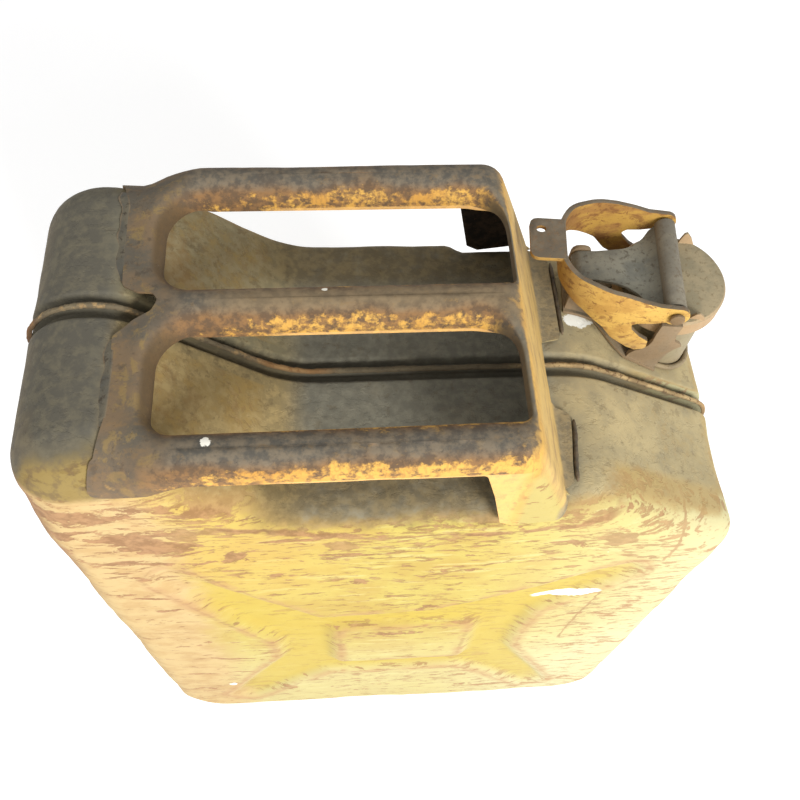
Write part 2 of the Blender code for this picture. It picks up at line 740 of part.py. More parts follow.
# breather pipe: from the air space below the shoulder up the inside of the neck
VENT_PATH = [
    (126.0, NECK_Y, 412.0), (126.0, NECK_Y, 392.0), (122.0, NECK_Y, 384.0),
    (110.0, NECK_Y, 383.0), (60.0, NECK_Y, 395.0), (0.0, NECK_Y, 398.0),
]


def build_neck_weld(mat):
    """Bead round the neck, dropping over the rounded edge of the shell."""
    path = np.array([(x, y, float(deck_height(x)) + 2.0)
                     for x, y in circle(NECK_X, NECK_Y, NECK_WELD_R, 32)])
    over = np.maximum(path[:, 1] - (HALF_WID - EDGE_R), 0)
    path[:, 2] -= EDGE_R - np.sqrt(EDGE_R ** 2 - over ** 2)
    tube_along("neck_weld_bead", path, 1.5, 6, mat, closed=True)


# ---------------------------------------------------------------- bracket and pins
# Closure pieces are built square about y = NECK_Y and then turned askew.
PIN_X, PIN_Z = 136.7, 433.4     # lever pin
HINGE_X, HINGE_Z = 92.5, 426.5  # cap hinge pin
HINGE_PIVOT = (HINGE_X, NECK_Y, HINGE_Z)
LEVER_PIVOT = (PIN_X, NECK_Y, PIN_Z)
# base plate on each side of the arc round the neck: x, y from the middle line
BASE_START = [
    (86.5, 13.5), (86.5, -13.5), (103, -13.5), (115, -26.0), (121, -30.0), (140.6, -30.3),
]
BASE_END = [(140.6, 30.3), (121, 30.0), (115, 26.0), (103, 13.5)]
BASE_ARC_R = 28.0
BASE_LOW, BASE_TOP = 0.4, 2.3   # the plate's two surfaces above the deck
HINGE_EAR = [(87.2, 408.6, 0), (103.0, 402.0, 0), (97.5, 432.5, 4), (88.0, 432.5, 4)]  # x, z, r
HINGE_EAR_IN, HINGE_EAR_OUT = 9.6, 11.6
# cheek beside the neck: x, z
CHEEK = [
    (132.0, 425.0), (131.2, 417.0), (131.2, 411.0), (130.0, 406.5), (127.6, 403.2),
    (124.6, 400.4), (122.6, 396.6), (122.0, 388.0), (130.0, 382.0), (139.0, 377.0),
    (140.6, 390.0), (142.2, 399.0), (144.4, 404.6), (147.0, 407.6), (145.6, 409.4),
    (142.2, 411.6), (141.6, 418.0), (142.5, 425.0),
]


def deck_skin(lift):
    """Surface for region_sheet: an (x, y) region laid lift above the deck."""
    return lambda pts: np.array([[x, y + NECK_Y, float(deck_under(x, y)) + lift]
                                 for x, y in pts])


def cheek_skin(side, offset):
    """Surface for region_sheet: a cheek that leans in at the bottom and stops at the deck."""
    def place(x, z):
        out = 30.15 - 1.5 * float(smooth(408, 392, z)) + offset
        return [x, NECK_Y + side * out, max(z, float(deck_under(x, 29.0 * side)) + 1.3)]
    return lambda pts: np.array([place(x, z) for x, z in pts])


def build_bracket(mat):
    """Saddle welded to the deck round the neck: base, two cheeks, two hinge ears."""
    base = BASE_START + arc(NECK_X, 0.0, BASE_ARC_R, -88, -272, 14) + BASE_END
    base = split_long(np.array(base), 9.0)
    grid = [(x, y) for x in (91.0, 97.0, 103.0, 112.0) for y in (-12.0, -4.0, 4.0, 12.0)]
    body = region_sheet("neck_bracket", [base], deck_skin(BASE_TOP), deck_skin(BASE_LOW),
                        mat, grid)
    ear = [fillet(HINGE_EAR, 3), circle(HINGE_X, HINGE_Z, 2.5, 12)]
    cheek_grid = [(x, z) for z in (408.0, 402.0, 396.0, 391.0, 386.0)
                  for x in (128.0, 133.0, 138.0)]
    for side, letter in ((-1, "a"), (1, "b")):
        join_askew(body, region_sheet("neck_bracket_ear" + letter, ear,
                                      upright(lambda z: NECK_Y + side * HINGE_EAR_IN),
                                      upright(lambda z: NECK_Y + side * HINGE_EAR_OUT), mat))
        join_askew(body, region_sheet("neck_bracket_cheek" + letter, [np.array(CHEEK)],
                                      cheek_skin(side, -1.1), cheek_skin(side, 1.0),
                                      mat, cheek_grid))
    askew(body)


def headed_pin(name, pivot, half_len, half_total, radius, head_radius, count, mat):
    """Pin along Y with a head at each end, centred on pivot."""
    x, middle, z = pivot
    stations = [(-half_total, head_radius), (-half_len, head_radius), (-half_len, radius),
                (half_len, radius), (half_len, head_radius), (half_total, head_radius)]
    verts = []
    for off, size in stations:
        verts += [[a, middle + off, b] for a, b in circle(x, z, size, count)]
    last = (len(stations) - 1) * count
    faces = lattice(len(stations), count)
    faces += [list(range(count)), list(range(last, last + count))]
    return face_out(mesh_object(name, verts, faces, mat))


# ---------------------------------------------------------------- cap and strap
CAP_R = 28.6
CAP_TOP = 424.0
CAP_LOW = 413.6
CAP_PROFILE = [     # r, z
    (0, CAP_TOP - 1.5), (26.4, CAP_TOP - 1.5), (27.3, CAP_TOP - 2.4), (27.3, CAP_LOW),
    (28.4, CAP_LOW), (CAP_R, 414.2), (CAP_R, CAP_TOP - 1.6), (27.6, CAP_TOP - 0.3),
    (26.4, CAP_TOP), (0, CAP_TOP),
]
CAP_EAR = [         # x, z
    (146.5, CAP_TOP - 0.9), (155.0, CAP_TOP - 0.9), (153.0, CAP_TOP + 3.0),
    (150.2, CAP_TOP + 6.2), (148.6, CAP_TOP + 5.4), (147.2, CAP_TOP + 2.0),
]
CAP_EAR_IN, CAP_EAR_OUT, CAP_EAR_LEAN = 23.6, 25.0, 0.22
INNER_PLATE_PROFILE = [     # r, z
    (0, CAP_TOP - 4.4), (20.6, CAP_TOP - 4.4), (21.2, CAP_TOP - 3.4),
    (26.4, CAP_TOP - 3.3), (26.4, CAP_TOP - 1.8), (0, CAP_TOP - 1.8),
]
GASKET_PROFILE = [          # r, z
    (21.6, CAP_TOP - 3.8), (26.2, CAP_TOP - 3.7), (26.2, 417.2), (21.6, 417.2),
]
STRAP_HALF_T = 0.9
STRAP_SEGS = 8
STRAP_ACROSS = 3            # points across the strap
STRAP_RUN = [               # x, z between the two pins
    (100.0, 430.3), (108.0, 430.4), (114.0, 429.8), (120.0, 428.6), (126.0, 428.0),
    (129.5, 429.4),
]
STRAP_WIDTHS = [            # x, half width: narrow at the hinge, wide at the lever pin
    (80, 9.0), (97, 9.0), (104, 9.8), (110, 11.0), (116, 12.8), (121, 16.0),
    (125, 20.0), (128, 24.5), (131, 27.3), (160, 27.3),
]


def build_strap(mat):
    """Plate that wraps the hinge pin, runs over the cap and wraps the lever pin."""
    line = arc(HINGE_X, HINGE_Z, 3.6, -150, -270, STRAP_SEGS) + STRAP_RUN
    line = np.array(line + arc(PIN_X, PIN_Z, 4.5, 197, -55, STRAP_SEGS + 4))
    along = np.gradient(line, axis=0)
    along /= np.linalg.norm(along, axis=1)[:, None]
    normals = np.stack([-along[:, 1], along[:, 0]], 1)
    half_widths = np.interp(line[:, 0], *zip(*STRAP_WIDTHS))
    size = STRAP_ACROSS
    verts, faces = [], []
    for point, normal, half in zip(line, normals, half_widths):
        for offset in (STRAP_HALF_T, -STRAP_HALF_T):
            x, z = point + normal * offset
            for k in range(size):
                verts.append([x, NECK_Y + half * (2 * k / (size - 1) - 1), z])
    last = len(line) - 1
    for i in range(last):
        here, there = i * 2 * size, (i + 1) * 2 * size
        low_here, low_there = here + size, there + size
        for k in range(size - 1):
            faces.append([here + k, there + k, there + k + 1, here + k + 1])
            faces.append([low_here + k, low_here + k + 1, low_there + k + 1, low_there + k])
        faces.append([here, low_here, low_there, there])
        faces.append([low_here - 1, low_there - 1, low_there + size - 1, low_here + size - 1])
    for base in (0, last * 2 * size):
        for k in range(base, base + size - 1):
            faces.append([k, k + 1, size + k + 1, size + k])
    askew(face_out(mesh_object("hinge_strap", verts, faces, mat)), HINGE_PIVOT)


def build_cap(mat):
    """Cap shell with two small leaning ears on its top."""
    body = solid_disc("cap_shell", CAP_PROFILE, mat)
    for side, letter in ((-1, "a"), (1, "b")):
        def leaning(out):
            return upright(lambda z: NECK_Y + side * (out + (z - CAP_TOP) * CAP_EAR_LEAN))
        join_askew(body, region_sheet("cap_shell_ear" + letter, [np.array(CAP_EAR)],
                                      leaning(CAP_EAR_IN), leaning(CAP_EAR_OUT), mat))
    askew(body, HINGE_PIVOT)


# ---------------------------------------------------------------- lever
# One strip bent round a bow at -X, cut to shape in its developed (run, z) plane;
# the run is measured along the strip from the middle of the bow.
LEVER_T = 2.5
LEVER_STEP = 4.0
BOW_X = 79.3
LEVER_PLAN = [      # half of the strip's middle line: x, y from the middle line, radius
    (BOW_X, 0.0, 0), (BOW_X, 12.0, 12), (84.5, 22.0, 16), (100.0, 28.6, 30),
    (119.0, 30.15, 30), (160.0, 30.15, 0),
]
LEVER_LOW = [       # lower edge of an arm, from the bow to the pin eye: x, z, radius
    (BOW_X, 437.0, 0), (84.0, 434.0, 6), (91.5, 429.0, 12), (102.4, 420.8, 12),
    (109.4, 411.8, 12), (118.7, 405.4, 8), (123.6, 402.9, 3), (129.0, 404.6, 2.5),
    (128.4, 411.2, 1.0), (123.0, 415.0, 6), (117.6, 421.0, 2.5), (116.6, 424.2, 1.5),
    (119.0, 426.2, 1.5), (125.9, 426.8, 2), (131.6, 428.2, 0),
]
LEVER_TOP = [       # upper edge, from the pin eye back to the bow: x, z
    (133.0, 439.9), (127.3, 440.4), (118.0, 443.4), (109.5, 446.0), (96.0, 448.6),
    (84.0, 450.0), (BOW_X, 450.0),
]
TAB = [(62.6, -12.4, 4), (79.6, -12.4, 0), (79.6, 12.4, 0), (62.6, 12.4, 4)]       # x, y, r
TAB_SLOT = [(65.8, 3.6, 1.9), (70.8, 3.6, 1.9), (70.8, 7.6, 1.9), (65.8, 7.6, 1.9)]
TAB_TOP, TAB_LOW = 450.2, 448.0


def lever_path():
    """Half of the strip's middle line in plan, and the run at each point."""
    path = split_long(fillet(LEVER_PLAN, 5, closed=False), 12.0, closed=False)
    steps = np.linalg.norm(np.diff(path, axis=0), axis=1)
    return path, np.concatenate([[0], np.cumsum(steps)])


def run_at(x, path, run):
    """Run at a given x; the straight of the bow, all at one x, is skipped."""
    keep = np.concatenate([[False], np.diff(path[:, 0]) > 1e-6])
    return np.interp(x, np.concatenate([[BOW_X], path[keep, 0]]),
                     np.concatenate([[run[keep][0] - 0.5], run[keep]]))


def lever_blank(path, run):
    """Outline of the developed strip."""
    half = [tuple(point) for point in fillet(LEVER_LOW, 3, closed=False)]
    half = np.array(half + arc(PIN_X, PIN_Z, 6.3, -130, 75, 6) + LEVER_TOP)
    flat = np.stack([run_at(half[:, 0], path, run), half[:, 1]], 1)
    return split_long(np.vstack([flat, flat[::-1] * np.array([-1, 1])]), LEVER_STEP * 1.2)


def lever_skin(path, run, offset):
    """Surface for region_sheet: the developed strip bent to plan, offset from its middle."""
    line = np.vstack([path[::-1] * np.array([1, -1]), path[1:]])
    runs = np.concatenate([-run[::-1], run[1:]])
    along = np.gradient(line, runs, axis=0)
    along /= np.linalg.norm(along, axis=1)[:, None]

    def surface(pts):
        x, y, along_x, along_y = [np.interp(pts[:, 0], runs, values)
                                  for values in (*line.T, *along.T)]
        length = np.hypot(along_x, along_y)
        x = x - along_y / length * offset
        y = y + along_x / length * offset
        return np.stack([x, y + NECK_Y, pts[:, 1]], 1)
    return surface


def build_lever(mat):
    """Bent strip with a pin hole in each arm and a slotted tab on the bow."""
    path, run = lever_path()
    hole = circle(float(run_at(PIN_X, path, run)), PIN_Z, 2.9, 12)
    loops = [lever_blank(path, run), hole, hole * np.array([-1.0, 1.0])]
    reach = float(run_at(108.0, path, run))
    grid = [(at, z) for at in np.arange(-reach, reach + 0.1, LEVER_STEP) for z in (441.0, 445.5)]
    body = region_sheet("lever", loops, lever_skin(path, run, LEVER_T / 2),
                        lever_skin(path, run, -LEVER_T / 2), mat, grid)
    join_askew(body, region_sheet("lever_tab", [fillet(TAB, 3), fillet(TAB_SLOT, 2)],
                                  level(TAB_TOP, NECK_Y), level(TAB_LOW, NECK_Y), mat))
    askew(body, LEVER_PIVOT)


# ---------------------------------------------------------------- assembly
def main():
    clear_scene()
    mats = {name: material(name, **look) for name, look in LOOKS.items()}
    olive = mats["dirty_olive_paint"]
    rust = mats["rusty_weld"]
    dark = mats["dark_grimy_steel"]
    steel = mats["pin_steel"]

    build_half("shell_near", -1, mats["ochre_paint"])
    cut_neck_hole(build_half("shell_far", 1, olive), olive)
    build_bead(rust)

    build_handle(mats["worn_handle_paint"])
    build_handle_welds(rust)

    revolve("filler_neck", NECK_PROFILE, olive)
    build_neck_weld(rust)
    build_bracket(dark)
    askew(headed_pin("hinge_pin", HINGE_PIVOT, half_len=11.9, half_total=13.4,
                     radius=2.15, head_radius=3.8, count=12, mat=steel))
    tube_along("vent_pipe", VENT_PATH, 3.6, 10, dark, bore=2.6)

    build_strap(dark)
    build_cap(dark)
    askew(solid_disc("cap_inner_plate", INNER_PLATE_PROFILE, dark), HINGE_PIVOT)
    askew(revolve("cap_gasket", GASKET_PROFILE, mats["seal_rubber"]), HINGE_PIVOT)
    build_lever(mats["orange_rust_steel"])
    askew(headed_pin("lever_pin", LEVER_PIVOT, half_len=31.9, half_total=33.8,
                     radius=2.55, head_radius=3.7, count=14, mat=steel), LEVER_PIVOT)


main()
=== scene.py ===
# Jerry can: two pressed shells welded along a seam, a three-bar handle, and a cap under a lever.
# The origin is on the ground under the can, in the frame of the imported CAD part, +Z up.
# X runs along the can with the filler at +X; "left" is -X, "near" is -Y and "far" is +Y.
# Lengths are in millimetres until mesh_object scales them to metres.
import math
from contextlib import contextmanager
from functools import cached_property

import bmesh
import bpy
import numpy as np
from mathutils import Matrix, Vector, noise
from mathutils.geometry import delaunay_2d_cdt


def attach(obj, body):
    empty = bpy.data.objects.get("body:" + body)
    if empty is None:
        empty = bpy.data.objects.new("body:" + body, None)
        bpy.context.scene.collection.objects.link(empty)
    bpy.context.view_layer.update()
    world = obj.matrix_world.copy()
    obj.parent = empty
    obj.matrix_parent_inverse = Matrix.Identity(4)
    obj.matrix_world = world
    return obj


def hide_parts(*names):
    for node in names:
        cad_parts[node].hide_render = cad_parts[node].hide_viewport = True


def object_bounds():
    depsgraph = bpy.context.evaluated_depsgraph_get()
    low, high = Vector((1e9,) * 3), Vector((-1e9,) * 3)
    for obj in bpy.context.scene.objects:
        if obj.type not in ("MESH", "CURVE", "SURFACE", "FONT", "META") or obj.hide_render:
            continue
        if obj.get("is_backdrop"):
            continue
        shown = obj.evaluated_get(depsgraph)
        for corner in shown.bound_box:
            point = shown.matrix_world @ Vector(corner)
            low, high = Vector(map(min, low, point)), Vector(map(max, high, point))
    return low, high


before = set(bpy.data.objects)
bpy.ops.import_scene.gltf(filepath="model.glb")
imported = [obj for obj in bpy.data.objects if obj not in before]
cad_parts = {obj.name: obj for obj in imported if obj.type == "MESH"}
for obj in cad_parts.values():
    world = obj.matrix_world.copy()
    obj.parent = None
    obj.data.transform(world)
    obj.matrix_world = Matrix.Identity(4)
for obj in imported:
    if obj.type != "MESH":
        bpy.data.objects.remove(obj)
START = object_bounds()
MM = 0.001

# ---------------------------------------------------------------- main sizes
HALF_LEN = 172.5                # half the length of the shell
HALF_WID = 82.5                 # half the width of the shell
DECK_Z = 407.5                  # flat of the deck under the handle
SHOULDER_Z = 468.0              # top of the raised shoulder
WALL = 1.2                      # shell sheet
EDGE_R = 18.0                   # rounding from the large faces to the rim band
EMBOSS = 5.0                    # depth of the pressed channels
HANDLE_Z = 470.0                # top of the handle bars
HANDLE_T = 1.5                  # handle sheet
BAR_R = 10.0                    # crown radius of a bar
BAR_DEPTH = 15.0                # height of a bar's side
NECK_X, NECK_Y = 140.3, 40.0    # axis of the filler neck
TURN = math.radians(-5.5)       # the closure sits slightly askew on the deck
PIN_X, PIN_Z = 136.7, 433.4     # lever pin, in the closure's own frame
HINGE_X, HINGE_Z = 92.5, 426.5  # cap hinge pin, in the same frame
CAP_R = 28.6
CAP_TOP = 424.0


# ---------------------------------------------------------------- curves and plans
def smooth(start, end, value):
    """Eased step from 0 at start to 1 at end; start may be the larger."""
    share = np.clip((np.asarray(value, float) - start) / (end - start), 0.0, 1.0)
    return share * share * (3 - 2 * share)


def unit(vectors):
    return vectors / np.linalg.norm(vectors, axis=-1, keepdims=True)


def xyz(x, y, z):
    """Points from three coordinates, each an array or a single number."""
    return np.stack(np.broadcast_arrays(x, y, z), 1)


def arc(x, z, radius, start, end, steps):
    """Points of an arc between two angles in degrees."""
    angles = [math.radians(start + (end - start) * i / steps) for i in range(steps + 1)]
    return [(x + radius * math.cos(a), z + radius * math.sin(a)) for a in angles]


def circle(x, z, radius, count):
    angles = [2 * math.pi * i / count for i in range(count)]
    return np.array([(x + radius * math.cos(a), z + radius * math.sin(a)) for a in angles])


def fillet(points, radii, segments, closed=True):
    """Polyline with rounded corners; segments is one count or one for each corner."""
    rounded = []
    count = len(points)
    for i in range(count):
        corner = np.array(points[i], float)
        radius = radii[i]
        if radius <= 0 or (not closed and i in (0, count - 1)):
            rounded.append(corner)
            continue
        back = unit(np.array(points[i - 1], float) - corner)
        ahead = unit(np.array(points[(i + 1) % count], float) - corner)
        half = math.acos(max(-1, min(1, float(back @ ahead)))) / 2
        reach = radius / math.tan(half)
        centre = corner + unit(back + ahead) * (radius / math.sin(half))
        start = corner + back * reach - centre
        end = corner + ahead * reach - centre
        first = math.atan2(start[1], start[0])
        turn = math.atan2(start[0] * end[1] - start[1] * end[0], float(start @ end))
        steps = segments[i] if isinstance(segments, tuple) else segments
        for j in range(steps + 1):
            angle = first + turn * j / steps
            rounded.append(centre + radius * np.array([math.cos(angle), math.sin(angle)]))
    return np.array(rounded)


def split_long(loop, step, closed=True):
    """Cuts the edges of a polyline into equal parts no longer than step."""
    points = []
    count = len(loop)
    for i in range(count if closed else count - 1):
        start, end = loop[i], loop[(i + 1) % count]
        parts = max(1, int(math.ceil(np.linalg.norm(end - start) / step - 1e-6)))
        points += [start + (end - start) * j / parts for j in range(parts)]
    if not closed:
        points.append(loop[-1])
    return np.array(points)


def normals_of(loop):
    """Outward normals of a counter-clockwise closed loop, mitred."""
    edges = (loop - np.roll(loop, 1, 0), np.roll(loop, -1, 0) - loop)
    before, after = (unit(edge)[:, ::-1] * (1, -1) for edge in edges)
    mitre = before + after
    return mitre / np.maximum((mitre * before).sum(1), 0.3)[:, None]


def inside(loops, points):
    """Even-odd test of points against loops."""
    hit = np.zeros(len(points), bool)
    x, y = points[:, 0], points[:, 1]
    for loop in loops:
        for (x0, y0), (x1, y1) in zip(loop, np.roll(loop, -1, 0)):
            if y0 != y1:
                crossing = (x1 - x0) * (y - y0) / (y1 - y0) + x0
                hit ^= ((y0 > y) != (y1 > y)) & (x < crossing)
    return hit


def nearest_edge(loop, points):
    """Distance of points to the closed loop."""
    best = np.full(len(points), 1e9)
    for start, end in zip(loop, np.roll(loop, -1, 0)):
        edge = end - start
        share = np.clip(((points - start) @ edge) / max(edge @ edge, 1e-9), 0, 1)
        foot = start + share[:, None] * edge
        best = np.minimum(best, np.linalg.norm(points - foot, axis=1))
    return best


def triangulate(loops, extra=()):
    """Counter-clockwise triangles between loops, with extra free points inside."""
    verts, edges = [], []
    for loop in loops:
        base, count = len(verts), len(loop)
        verts += [Vector(point) for point in loop]
        edges += [(base + i, base + (i + 1) % count) for i in range(count)]
    if len(extra):
        verts += [Vector(point) for point in extra[inside(loops, extra)]]
    cut = delaunay_2d_cdt(verts, edges, [], 0, 1e-6)
    points = np.array([tuple(vert) for vert in cut[0]])
    tris = np.array([list(face) for face in cut[2]])
    tris = tris[inside(loops, points[tris].mean(1))]
    first, second, third = (points[tris[:, k]] for k in range(3))
    area = np.cross(second - first, third - first)
    tris[area < 0] = tris[area < 0][:, ::-1]
    return points, tris


def quads(rows, columns, base=0, wrap_rows=False, wrap_columns=True, order=(0, 1, 2, 3)):
    """Faces of a grid of vertices stored row by row. Order picks the corners: 0 is the
    vertex itself, 1 its neighbour in the row, and 3 and 2 those in the next row."""
    faces = []
    for i in range(rows if wrap_rows else rows - 1):
        here, beyond = base + i * columns, base + (i + 1) % rows * columns
        for k in range(columns if wrap_columns else columns - 1):
            j = (k + 1) % columns
            corners = (here + k, here + j, beyond + j, beyond + k)
            faces.append([corners[c] for c in order])
    return faces


def lump(point, scale, seed):
    """Smooth noise about zero at a point."""
    return noise.noise(Vector((point[0] * scale + seed, point[1] * scale - seed,
                               point[2] * scale + 2 * seed)))


# ---------------------------------------------------------------- mesh tools
@contextmanager
def editing(obj):
    """The object's mesh as a bmesh, written back at the end."""
    mesh = bmesh.new()
    mesh.from_mesh(obj.data)
    yield mesh
    mesh.to_mesh(obj.data)
    mesh.free()


def mesh_object(name, verts, faces, material, weld=0.02):
    """Object from millimetre points; points closer than weld become one."""
    build = bmesh.new()
    made = [build.verts.new((v[0] * MM, v[1] * MM, v[2] * MM)) for v in verts]
    for face in faces:
        # a face that is already there, or that repeats a corner, is left out
        try:
            build.faces.new([made[i] for i in face])
        except ValueError:
            pass
    bmesh.ops.remove_doubles(build, verts=build.verts, dist=weld * MM)
    bmesh.ops.dissolve_degenerate(build, edges=build.edges, dist=1e-7)
    loose = [vert for vert in build.verts if not vert.link_faces]
    bmesh.ops.delete(build, geom=loose, context="VERTS")
    mesh = bpy.data.meshes.new(name)
    build.to_mesh(mesh)
    build.free()
    mesh.materials.append(material)
    obj = bpy.data.objects.new(name, mesh)
    bpy.context.scene.collection.objects.link(obj)
    return obj


def solid_object(name, verts, faces, material):
    """Closed object whose faces all look outward."""
    obj = mesh_object(name, verts, faces, material)
    with editing(obj) as mesh:
        bmesh.ops.recalc_face_normals(mesh, faces=mesh.faces)
        if mesh.calc_volume(signed=True) < 0:
            bmesh.ops.reverse_faces(mesh, faces=mesh.faces)
    return obj


def face_out(mesh, reach):
    """Turns an open sheet so that its farthest face, by reach, looks that way."""
    bmesh.ops.recalc_face_normals(mesh, faces=mesh.faces)
    probe = max(mesh.faces, key=lambda face: reach(face.calc_center_median()))
    if reach(probe.normal) < 0:
        bmesh.ops.reverse_faces(mesh, faces=mesh.faces)
    mesh.normal_update()


def thicken(obj, thickness):
    sheet = obj.modifiers.new("sheet", "SOLIDIFY")
    sheet.thickness = thickness * MM
    sheet.offset = -1
    sheet.use_quality_normals = True
    return sheet


def region_sheet(name, loops, surface, offsets, material, extra=()):
    """Closed sheet: a plan region carried onto surface(u, v, offset) at two offsets."""
    points, tris = triangulate(loops, extra)
    verts = np.vstack([xyz(*surface(points[:, 0], points[:, 1], off)) for off in offsets])
    count = len(points)
    faces = [list(tri) for tri in tris] + [[a + count, c + count, b + count] for a, b, c in tris]
    edges = dict.fromkeys(e for a, b, c in tris for e in ((a, b), (b, c), (c, a)))
    faces += [[b, a, a + count, b + count] for a, b in edges if (b, a) not in edges]
    return solid_object(name, verts, faces, material)


def revolve(name, profile, count, material):
    """Turns a (radius, z) profile about the neck's axis. It is a closed loop, or runs from
    axis to axis; z may be a function of x."""
    solid = profile[0][0] == 0
    rim = profile[1:-1] if solid else profile
    size = len(rim)
    verts = []
    for i in range(count):
        angle = 2 * math.pi * i / count
        for radius, z in rim:
            x = NECK_X + radius * math.cos(angle)
            verts.append([x, NECK_Y + radius * math.sin(angle), z(x) if callable(z) else z])
    if not solid:
        faces = quads(count, size, wrap_rows=True, order=(0, 3, 2, 1))
        return solid_object(name, verts, faces, material)
    low = len(verts)
    verts += [[NECK_X, NECK_Y, profile[0][1]], [NECK_X, NECK_Y, profile[-1][1]]]
    faces = []
    for i in range(count):
        here, beyond = i * size, (i + 1) % count * size
        for k in range(size - 1):
            faces.append([here + k, beyond + k, beyond + k + 1, here + k + 1])
        faces.append([low, beyond, here])
        faces.append([low + 1, here + size - 1, beyond + size - 1])
    return solid_object(name, verts, faces, material)


def tube(name, path, radius, count, material, closed=False, bore=0.0):
    """Round bar along a path, or a pipe if bore is given, with its ends closed."""
    path = np.asarray(path, float)
    size = len(path)
    if closed:
        tangent = unit(np.roll(path, -1, 0) - np.roll(path, 1, 0))
    else:
        index = np.arange(size)
        ahead, behind = np.minimum(index + 1, size - 1), np.maximum(index - 1, 0)
        tangent = unit(path[ahead] - path[behind])
    side = np.cross(tangent, (0.0, 0.0, 1.0))
    side[np.linalg.norm(side, axis=1) < 1e-3] = (0.0, 1.0, 0.0)
    side = unit(side)
    lift = np.cross(side, tangent)
    verts, faces = [], []
    for layer, ring in enumerate([radius, bore] if bore else [radius]):
        for i in range(size):
            for k in range(count):
                angle = 2 * math.pi * k / count
                spoke = math.cos(angle) * side[i] + math.sin(angle) * lift[i]
                verts.append(path[i] + ring * spoke)
        faces += quads(size, count, base=layer * size * count, wrap_rows=closed,
                       order=(0, 1, 2, 3) if layer else (3, 2, 1, 0))
    last, inner = (size - 1) * count, size * count
    if bore:
        for k in range(count):
            j = (k + 1) % count
            faces.append([k, j, inner + j, inner + k])
        for k in range(count):
            j = (k + 1) % count
            faces.append([last + j, last + k, inner + last + k, inner + last + j])
    elif not closed:
        faces.append(list(range(count)))
        faces.append(list(range(last, last + count))[::-1])
    return solid_object(name, verts, faces, material)


def boolean(obj, other, operation):
    """Joins or cuts; final_mesh applies it and removes the other object."""
    step = obj.modifiers.new(operation.lower(), "BOOLEAN")
    step.operation = operation
    step.solver = "EXACT"
    step.object = other


def final_mesh(obj, angle=32.0):
    """Applies the modifiers and shades smooth between edges sharper than angle."""
    helpers = [step.object for step in obj.modifiers if step.type == "BOOLEAN"]
    graph = bpy.context.evaluated_depsgraph_get()
    done = bpy.data.meshes.new_from_object(obj.evaluated_get(graph))
    obj.modifiers.clear()
    materials = list(obj.data.materials)
    slots = [face.material_index for face in done.polygons]
    obj.data = done
    done.materials.clear()
    for material in materials:
        done.materials.append(material)
    done.polygons.foreach_set("use_smooth", [True] * len(done.polygons))
    done.polygons.foreach_set("material_index", slots)
    done.set_sharp_from_angle(angle=math.radians(angle))
    for helper in helpers:
        bpy.data.objects.remove(helper, do_unlink=True)
    return obj


def round_edges(obj, width):
    with editing(obj) as mesh:
        bmesh.ops.dissolve_limit(mesh, angle_limit=math.radians(0.6), verts=mesh.verts,
                                 edges=mesh.edges)
    bevel = obj.modifiers.new("soft edges", "BEVEL")
    bevel.width = width * MM
    bevel.segments = 2
    bevel.limit_method = "ANGLE"
    bevel.angle_limit = math.radians(40.0)


def closure(obj, edge=None):
    """Finishes a closure piece, built square, and turns it to the closure's heading."""
    if obj.modifiers:
        final_mesh(obj)
    if edge:
        round_edges(obj, edge)
    final_mesh(obj)
    neck = Vector((NECK_X * MM, NECK_Y * MM, 0))
    turn = Matrix.Rotation(TURN, 4, "Z")
    obj.data.transform(Matrix.Translation(neck) @ turn @ Matrix.Translation(-neck))
    obj.data.update()
    return obj


# ---------------------------------------------------------------- shell
# side view (x, z), corner radii, and corner segments at two finenesses
OUTLINE = [(-HALF_LEN, 0), (HALF_LEN, 0), (HALF_LEN, 360), (91, DECK_Z), (-58, DECK_Z),
           (-128, SHOULDER_Z), (-HALF_LEN, SHOULDER_Z)]
OUTLINE_R = [45, 45, 20, 60, 45, 27, 31]
FINE_CORNERS = (26, 26, 12, 14, 14, 14, 22)

# edge of the pressed channels (x, z), and the raised box they run round
CHANNEL = [(-49, 256), (-70, 283), (-123, 357), (-135, 338), (-115, 288), (-94, 238),
           (-78, 205), (-78, 165), (-92, 135), (-112, 88), (-128, 48), (-108, 34),
           (-72, 86), (-47, 113), (47, 113), (72, 86), (108, 34), (128, 48), (112, 88),
           (92, 135), (80, 165), (80, 205), (84, 250), (97, 273), (114, 292), (134, 318),
           (125, 337), (106, 324), (56, 286), (20, 260)]
CHANNEL_LOOP = fillet(CHANNEL, [6] * len(CHANNEL), 5)
BOX_LOOP = fillet([(-41, 139), (48, 139), (48, 230), (-41, 230)], [8] * 4, 5)

# half section from the seam flange out to the edge rounding: (y, inset), corner radii
RIM_SECTION = [(1.35, 1.0), (1.35, 4.7), (4.4, 4.7), (6.6, 0.0), (HALF_WID - EDGE_R, 0.0)]
RIM_R = [0, 1.1, 1.6, 2.2, 0]


def outline(corners, step):
    return split_long(fillet(OUTLINE, OUTLINE_R, corners), step)


def deck_table():
    """Top line of the outline, sorted by x."""
    loop = outline((24, 24, 16, 12, 12, 12, 16), 5.0)
    top = loop[loop[:, 1] > 345]
    return top[np.argsort(top[:, 0], kind="stable")]


DECK = deck_table()


def deck_height(x):
    """Height of the top of the shell above x, on the flat of the rim band."""
    return np.interp(x, DECK[:, 0], DECK[:, 1])


def deck_under(x, across):
    """Deck height in the closure's own frame, across measured from its middle line."""
    return deck_height(NECK_X + (x - NECK_X) * math.cos(TURN) - across * math.sin(TURN))


def seam_sink(normals):
    """The seam sits deeper along the bottom so that the can rests on its shells."""
    return 2.2 * smooth(0.3, 0.95, -unit(normals)[:, 1])


